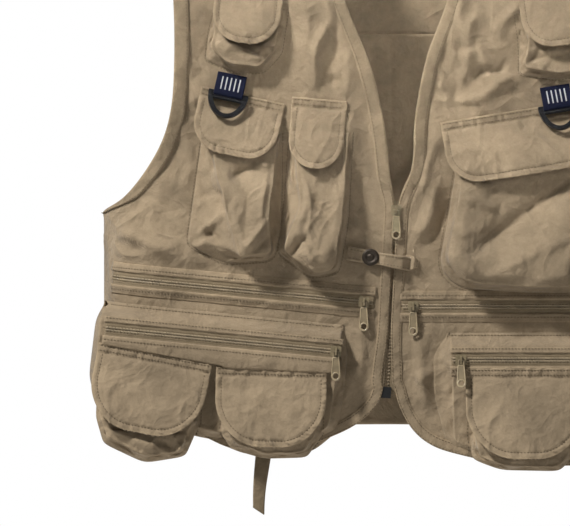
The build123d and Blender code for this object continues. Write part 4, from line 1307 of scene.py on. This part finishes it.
def pull_details(name):
    """A raised rim round a pull's hole and along its edges."""
    if name == "main":
        pivot, out, pitch = main_place.at(0.0, -8.0, 3.0), 3.0, 0.0
    else:
        pivot = Place(*ZIPS[name]["place"]).at(ZIPS[name]["rest"], 0.0, 4.2)
        out, pitch = FRONT_Y - pivot[1], 20.0 if name == "lower_left" else 0.0
    place = Place(pivot[0], pivot[2], 0.0, out)
    c, s = math.cos(math.radians(pitch)), math.sin(math.radians(pitch))

    def bar(part, u, v, w, radius, closed):
        line = place.at(u, v * c + w * s, w * c - v * s)
        tube(f"{name}_pull_{part}", line, radius, "pull_rim", f"{name}_pull", closed, 8)

    ang = circle(28)
    bar("rim", 2.95 * np.cos(ang), -21 + 2.95 * np.sin(ang), 0.55, 0.6, True)
    arc = [(3.55 * math.cos(a), -21 + 3.55 * math.sin(a)) for a in np.linspace(math.pi, 2 * math.pi, 16)]
    corners = np.array([(-2.45, -5.2), (-3.5, -20.0), *arc, (3.5, -20.0), (2.45, -5.2), (-2.45, -5.2)])
    path = resample(corners, 60)
    bar("edge", path[:, 0], path[:, 1], 0.5, 0.5, False)


for zip_name in (*ZIPS, "main"):
    pull_details(zip_name)

# ---------------------------------------------------------------- rings, tab, snap and loops
RINGS = {"right": (-137.0, -242.5, 12.0), "left": (143.0, -252.5, -9.0)}
STRIPES = (-7.5, -3.75, 0.0, 3.75, 7.5)
# the strap's run, as (v, w): down the front, over the bar and up behind it
STRAP = [(17.5, -2.5), (12, -1.2), (6.5, 1.6), (1.5, 3.05), (-2.1, 2.4), (-3.2, 0.0), (-2.0, -2.4)]


def ring_and_webbing(side):
    """The ring's cross bar, and the webbing folded over the ring's own bar, with woven stripes."""
    place = Place(*RINGS[side], 6.0)
    u = np.linspace(-16.0, 16.0, 24)
    tilt = math.radians(20)
    bar = place.at(u, -4.6 * math.cos(tilt), 4.6 * math.sin(tilt))
    tube(f"ring_bar_{side}", bar, 1.75, "ring", f"ring_{side}", sides=14)
    profile = curve(STRAP, 46)
    v, w = profile[:, :1], profile[:, 1:]
    b = np.linspace(-12.5, 12.5, 26)
    ribbed = place.at(b, v, w + 0.16 * np.sin(b * 3.9))
    web = slab(f"webbing_{side}", ribbed, 1.1, "webbing", 15.5 - np.abs(b))
    run = np.linspace(3.0, 14.0, 16)
    w = np.interp(run, profile[::-1, 0], profile[::-1, 1]) + 0.30
    for k, offset in enumerate(STRIPES):
        threads = offset + np.array([-0.55, -0.2, 0.2, 0.55])
        slab(f"stripe_{side}_{k}", place.at(threads, run[:, None], w[:, None]), 0.3, "stripe")
    sew("web", tree_of(web), place, (-11.5, 11.5), 15.8, 2.4)
    return web


webs = [ring_and_webbing(side) for side in ("right", "left")]
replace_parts(webs[0], "ring_webbings")
build_stitches("web", "webbing_stitches", material="webbing")

TAB = Place(0, -384.0, 10.0)


def closure_tab():
    """The cloth tab that bridges the zip: folded over at its sewn end, snapped at the other."""
    line = curve([(-36.5, 4.0), (-30, 4.4), (-23, 4.2), (-10.5, 4.2), (-7.5, 5.2), (-4.6, 7.4), (2, 7.9),
                  (10, 7.5), (14, 4.6), (17, 2.2), (20.5, 1.9)], 90)
    u, w = line[:, :1], line[:, 1:]
    b = np.linspace(-1, 1, 15)
    half = 5.6 + 0.35 * np.sin(u / 7.0)
    w = w + 0.5 * bell(np.abs(b), 0.82, 0.16) - 0.45 * (np.abs(b) > 0.97) + 0.25 * noise2(u / 5, b * 2, 77)
    obj = slab("tab_cloth", TAB.at(u, half * b, w), 1.5, "twill", half * (1 - np.abs(b)), body=None)
    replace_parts(obj, "closure_tab")
    tree = tree_of(obj)
    for side in (-1, 1):
        sew("tab", tree, TAB, (-35, 19), side * 3.7)
    threads = build_stitches("tab", "tab_stitches", None)
    blend_all((obj, threads), TAB, (19.5, 0, 1.5), (13.5, 0, 1.5))
    # a short folded end sewn down on the left front
    u = np.linspace(13, 25, 20)[:, None]
    w = 0.9 + 2.6 * bell(u, 20.5, 3.0) + 0.6 * noise2(u / 4, b, 79)
    narrow = 6.1 - 2.6 * smooth(u, 17, 25)
    patch = slab("tab_root", TAB.at(u, narrow * b + 1.4, w), 1.2, "twill", 6.1 * (1 - np.abs(b)))
    tree = tree_of(patch)
    for across in (15.0, 23.2):
        sew("root", tree, TAB, across, (-4, 6), 2.0)
    build_stitches("root", "tab_root_stitches")
    return obj


def snap_cap():
    """The snap's turned cap: a fluted ring round a low button."""
    profile = [(0.0, 1.15), (1.6, 1.2), (2.6, 1.05), (2.9, 0.7), (3.5, 0.7), (3.8, 1.15), (5.6, 1.5),
               (6.5, 1.25), (7.1, 0.7), (7.25, 0.15), (6.9, -0.05)]
    ang = circle(96)
    rows = []
    for r, h in profile:
        flute = 0.16 * np.cos(24 * ang) * (3.6 < r < 6.0)
        rows.append(TAB.at(-16.5 + r * np.cos(ang), r * np.sin(ang), 4.3 + h + flute))
    last = (len(rows) - 1) * len(ang)
    faces = [tuple(f) for f in grid_faces(len(rows), len(ang), 0, True, True)]
    faces.append(tuple(range(last, last + len(ang))))
    obj = add_mesh("snap_cap_turned", np.array(rows).reshape(-1, 3), faces, "snap", None, "tab")
    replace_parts(obj, "snap_cap")


tab_piece = closure_tab()
snap_cap()


def hem_loop(length=52.0, half=6.6, swell=2.4):
    """Two layers of tape hanging as a flat loop below the hem."""
    place = Place(-107.0, -545.0, 2.0, -4.0)
    turn = np.linspace(0.1, math.pi / 2, 8)
    v = np.concatenate([np.linspace(8.0, -length + 3, 60), -length + 3 - 3 * np.sin(turn)])
    lean = 0.9 * np.sin(v / 17.0) - 2.4 * smooth(-v, 0, length)
    b = np.linspace(-1, 1, 9)
    u = (half - 0.26 * half * smooth(-v, 0, length))[:, None] * b + lean[:, None]
    down = v[:, None] - 3.0 * b * smooth(-v, 0.72 * length, length)[:, None]
    layers = []
    for face in (1, -1):
        w = face * (0.5 + swell * np.sin(np.clip(-v / length, 0, 1) * math.pi) ** 0.8)
        w[-8:] = w[-9] * np.cos(turn)
        layers.append(place.at(u, down, w[:, None] + 0.25 * (1 - b ** 2) * face))
    p = np.vstack([layers[0], layers[1][::-1]])
    # the tape takes the darker copy of the binding cloth: painted shade
    obj = slab("hem_loop_tape", p, 0.8, "painted_shade_tape", half * (1 - np.abs(b)), body=None)
    blend_all((obj,), place, (0, 3.0, 0), (0, -7.0, 0))
    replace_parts(obj, "hem_loop")
    return obj


def hanger():
    """The hanging loop: a flat tape bowed between its two sewn ends."""
    line = curve([(-24, -25), (-23, -12), (-15, -2.0), (0, 1.6), (15, -2.0), (23, -12), (24, -25)], 70)
    b = np.linspace(-3.6, 3.6, 7)
    p = np.stack(np.broadcast_arrays(line[:, :1], b - 3.0, line[:, 1:]), -1)
    obj = slab("hanger_loop_tape", p, 1.2, "binding", 3.6 - np.abs(b), UP)
    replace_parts(obj, "hanger_loop")


def inner_bags():
    """The flat bags that hang inside the front behind the upper zips."""
    pieces = []
    for name, side in (("upper_right", -1), ("upper_left", 1)):
        place = Place(*ZIPS[name]["place"])
        u0, u1 = sorted((side * 14.5, side * 164.0))
        u, v = np.meshgrid(np.linspace(u0, u1, 60), np.linspace(8, -94, 44))
        e = np.minimum(np.minimum(u - u0, u1 - u), v + 94)
        for face, level, bulge in (("front", -3.8, -0.35), ("back", -6.9, 0.35)):
            w = level + 0.35 * fbm(u, v, 30, 91, 3) + bulge * smooth(6 - e, 0, 6)
            pieces.append(slab(f"{name}_inner_bag_{face}", place.at(u, v, w), 0.6, "lining", e))
    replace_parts(pieces[0], "inner_pocket_bags")
    return pieces


hem_piece = hem_loop()
hanger()
bag_linings = inner_bags()

# ---------------------------------------------------------------- long rows of stitches
front_tree = {"right": tree_of(front_right), "left": tree_of(front_left)}
for name, (_, place, line) in pouches.items():
    side = side_of(name)
    sew("static", tree_of(bellow_pieces[side]) if POCKETS[name]["out"] else front_tree[side], place, *line.T)
for side, data in BELLOWS.items():
    sew("static", tree_of(bellow_pieces[side]), Place(*data["place"]), np.linspace(-98, 97, 80),
        data["top"] - 3.5)
BACK_ROWS = ((back_high, -178.0, 176.0), (back_high, -181.5, 176.0), (back_low, -522.0, 196.0))
for piece, level, reach in BACK_ROWS:
    x = np.linspace(-reach, reach, 260)
    stitch("static", *lay(tree_of(piece), x, 0 * x + level, TO_BACK))
build_stitches("static", "topstitching")


# ---------------------------------------------------------------- the pouches' cut areas
def cut_area(name):
    """A pouch's cut in square metres: the panel inside its rim, and the strip out to its sewn outline."""
    rim, base = outline(name, "rim"), outline(name, "base")
    u, v = rim.T
    panel = 0.5 * abs((u * np.roll(v, -1) - v * np.roll(u, -1)).sum())
    strip = np.hypot(np.linalg.norm(rim - base, axis=1), POCKETS[name]["depth"]).mean()
    return (panel + run_along(rim)[-1] * strip) * MM * MM


for name, (piece, _, _) in pouches.items():
    q, side = POCKETS[name], side_of(name)
    cut_area(name)
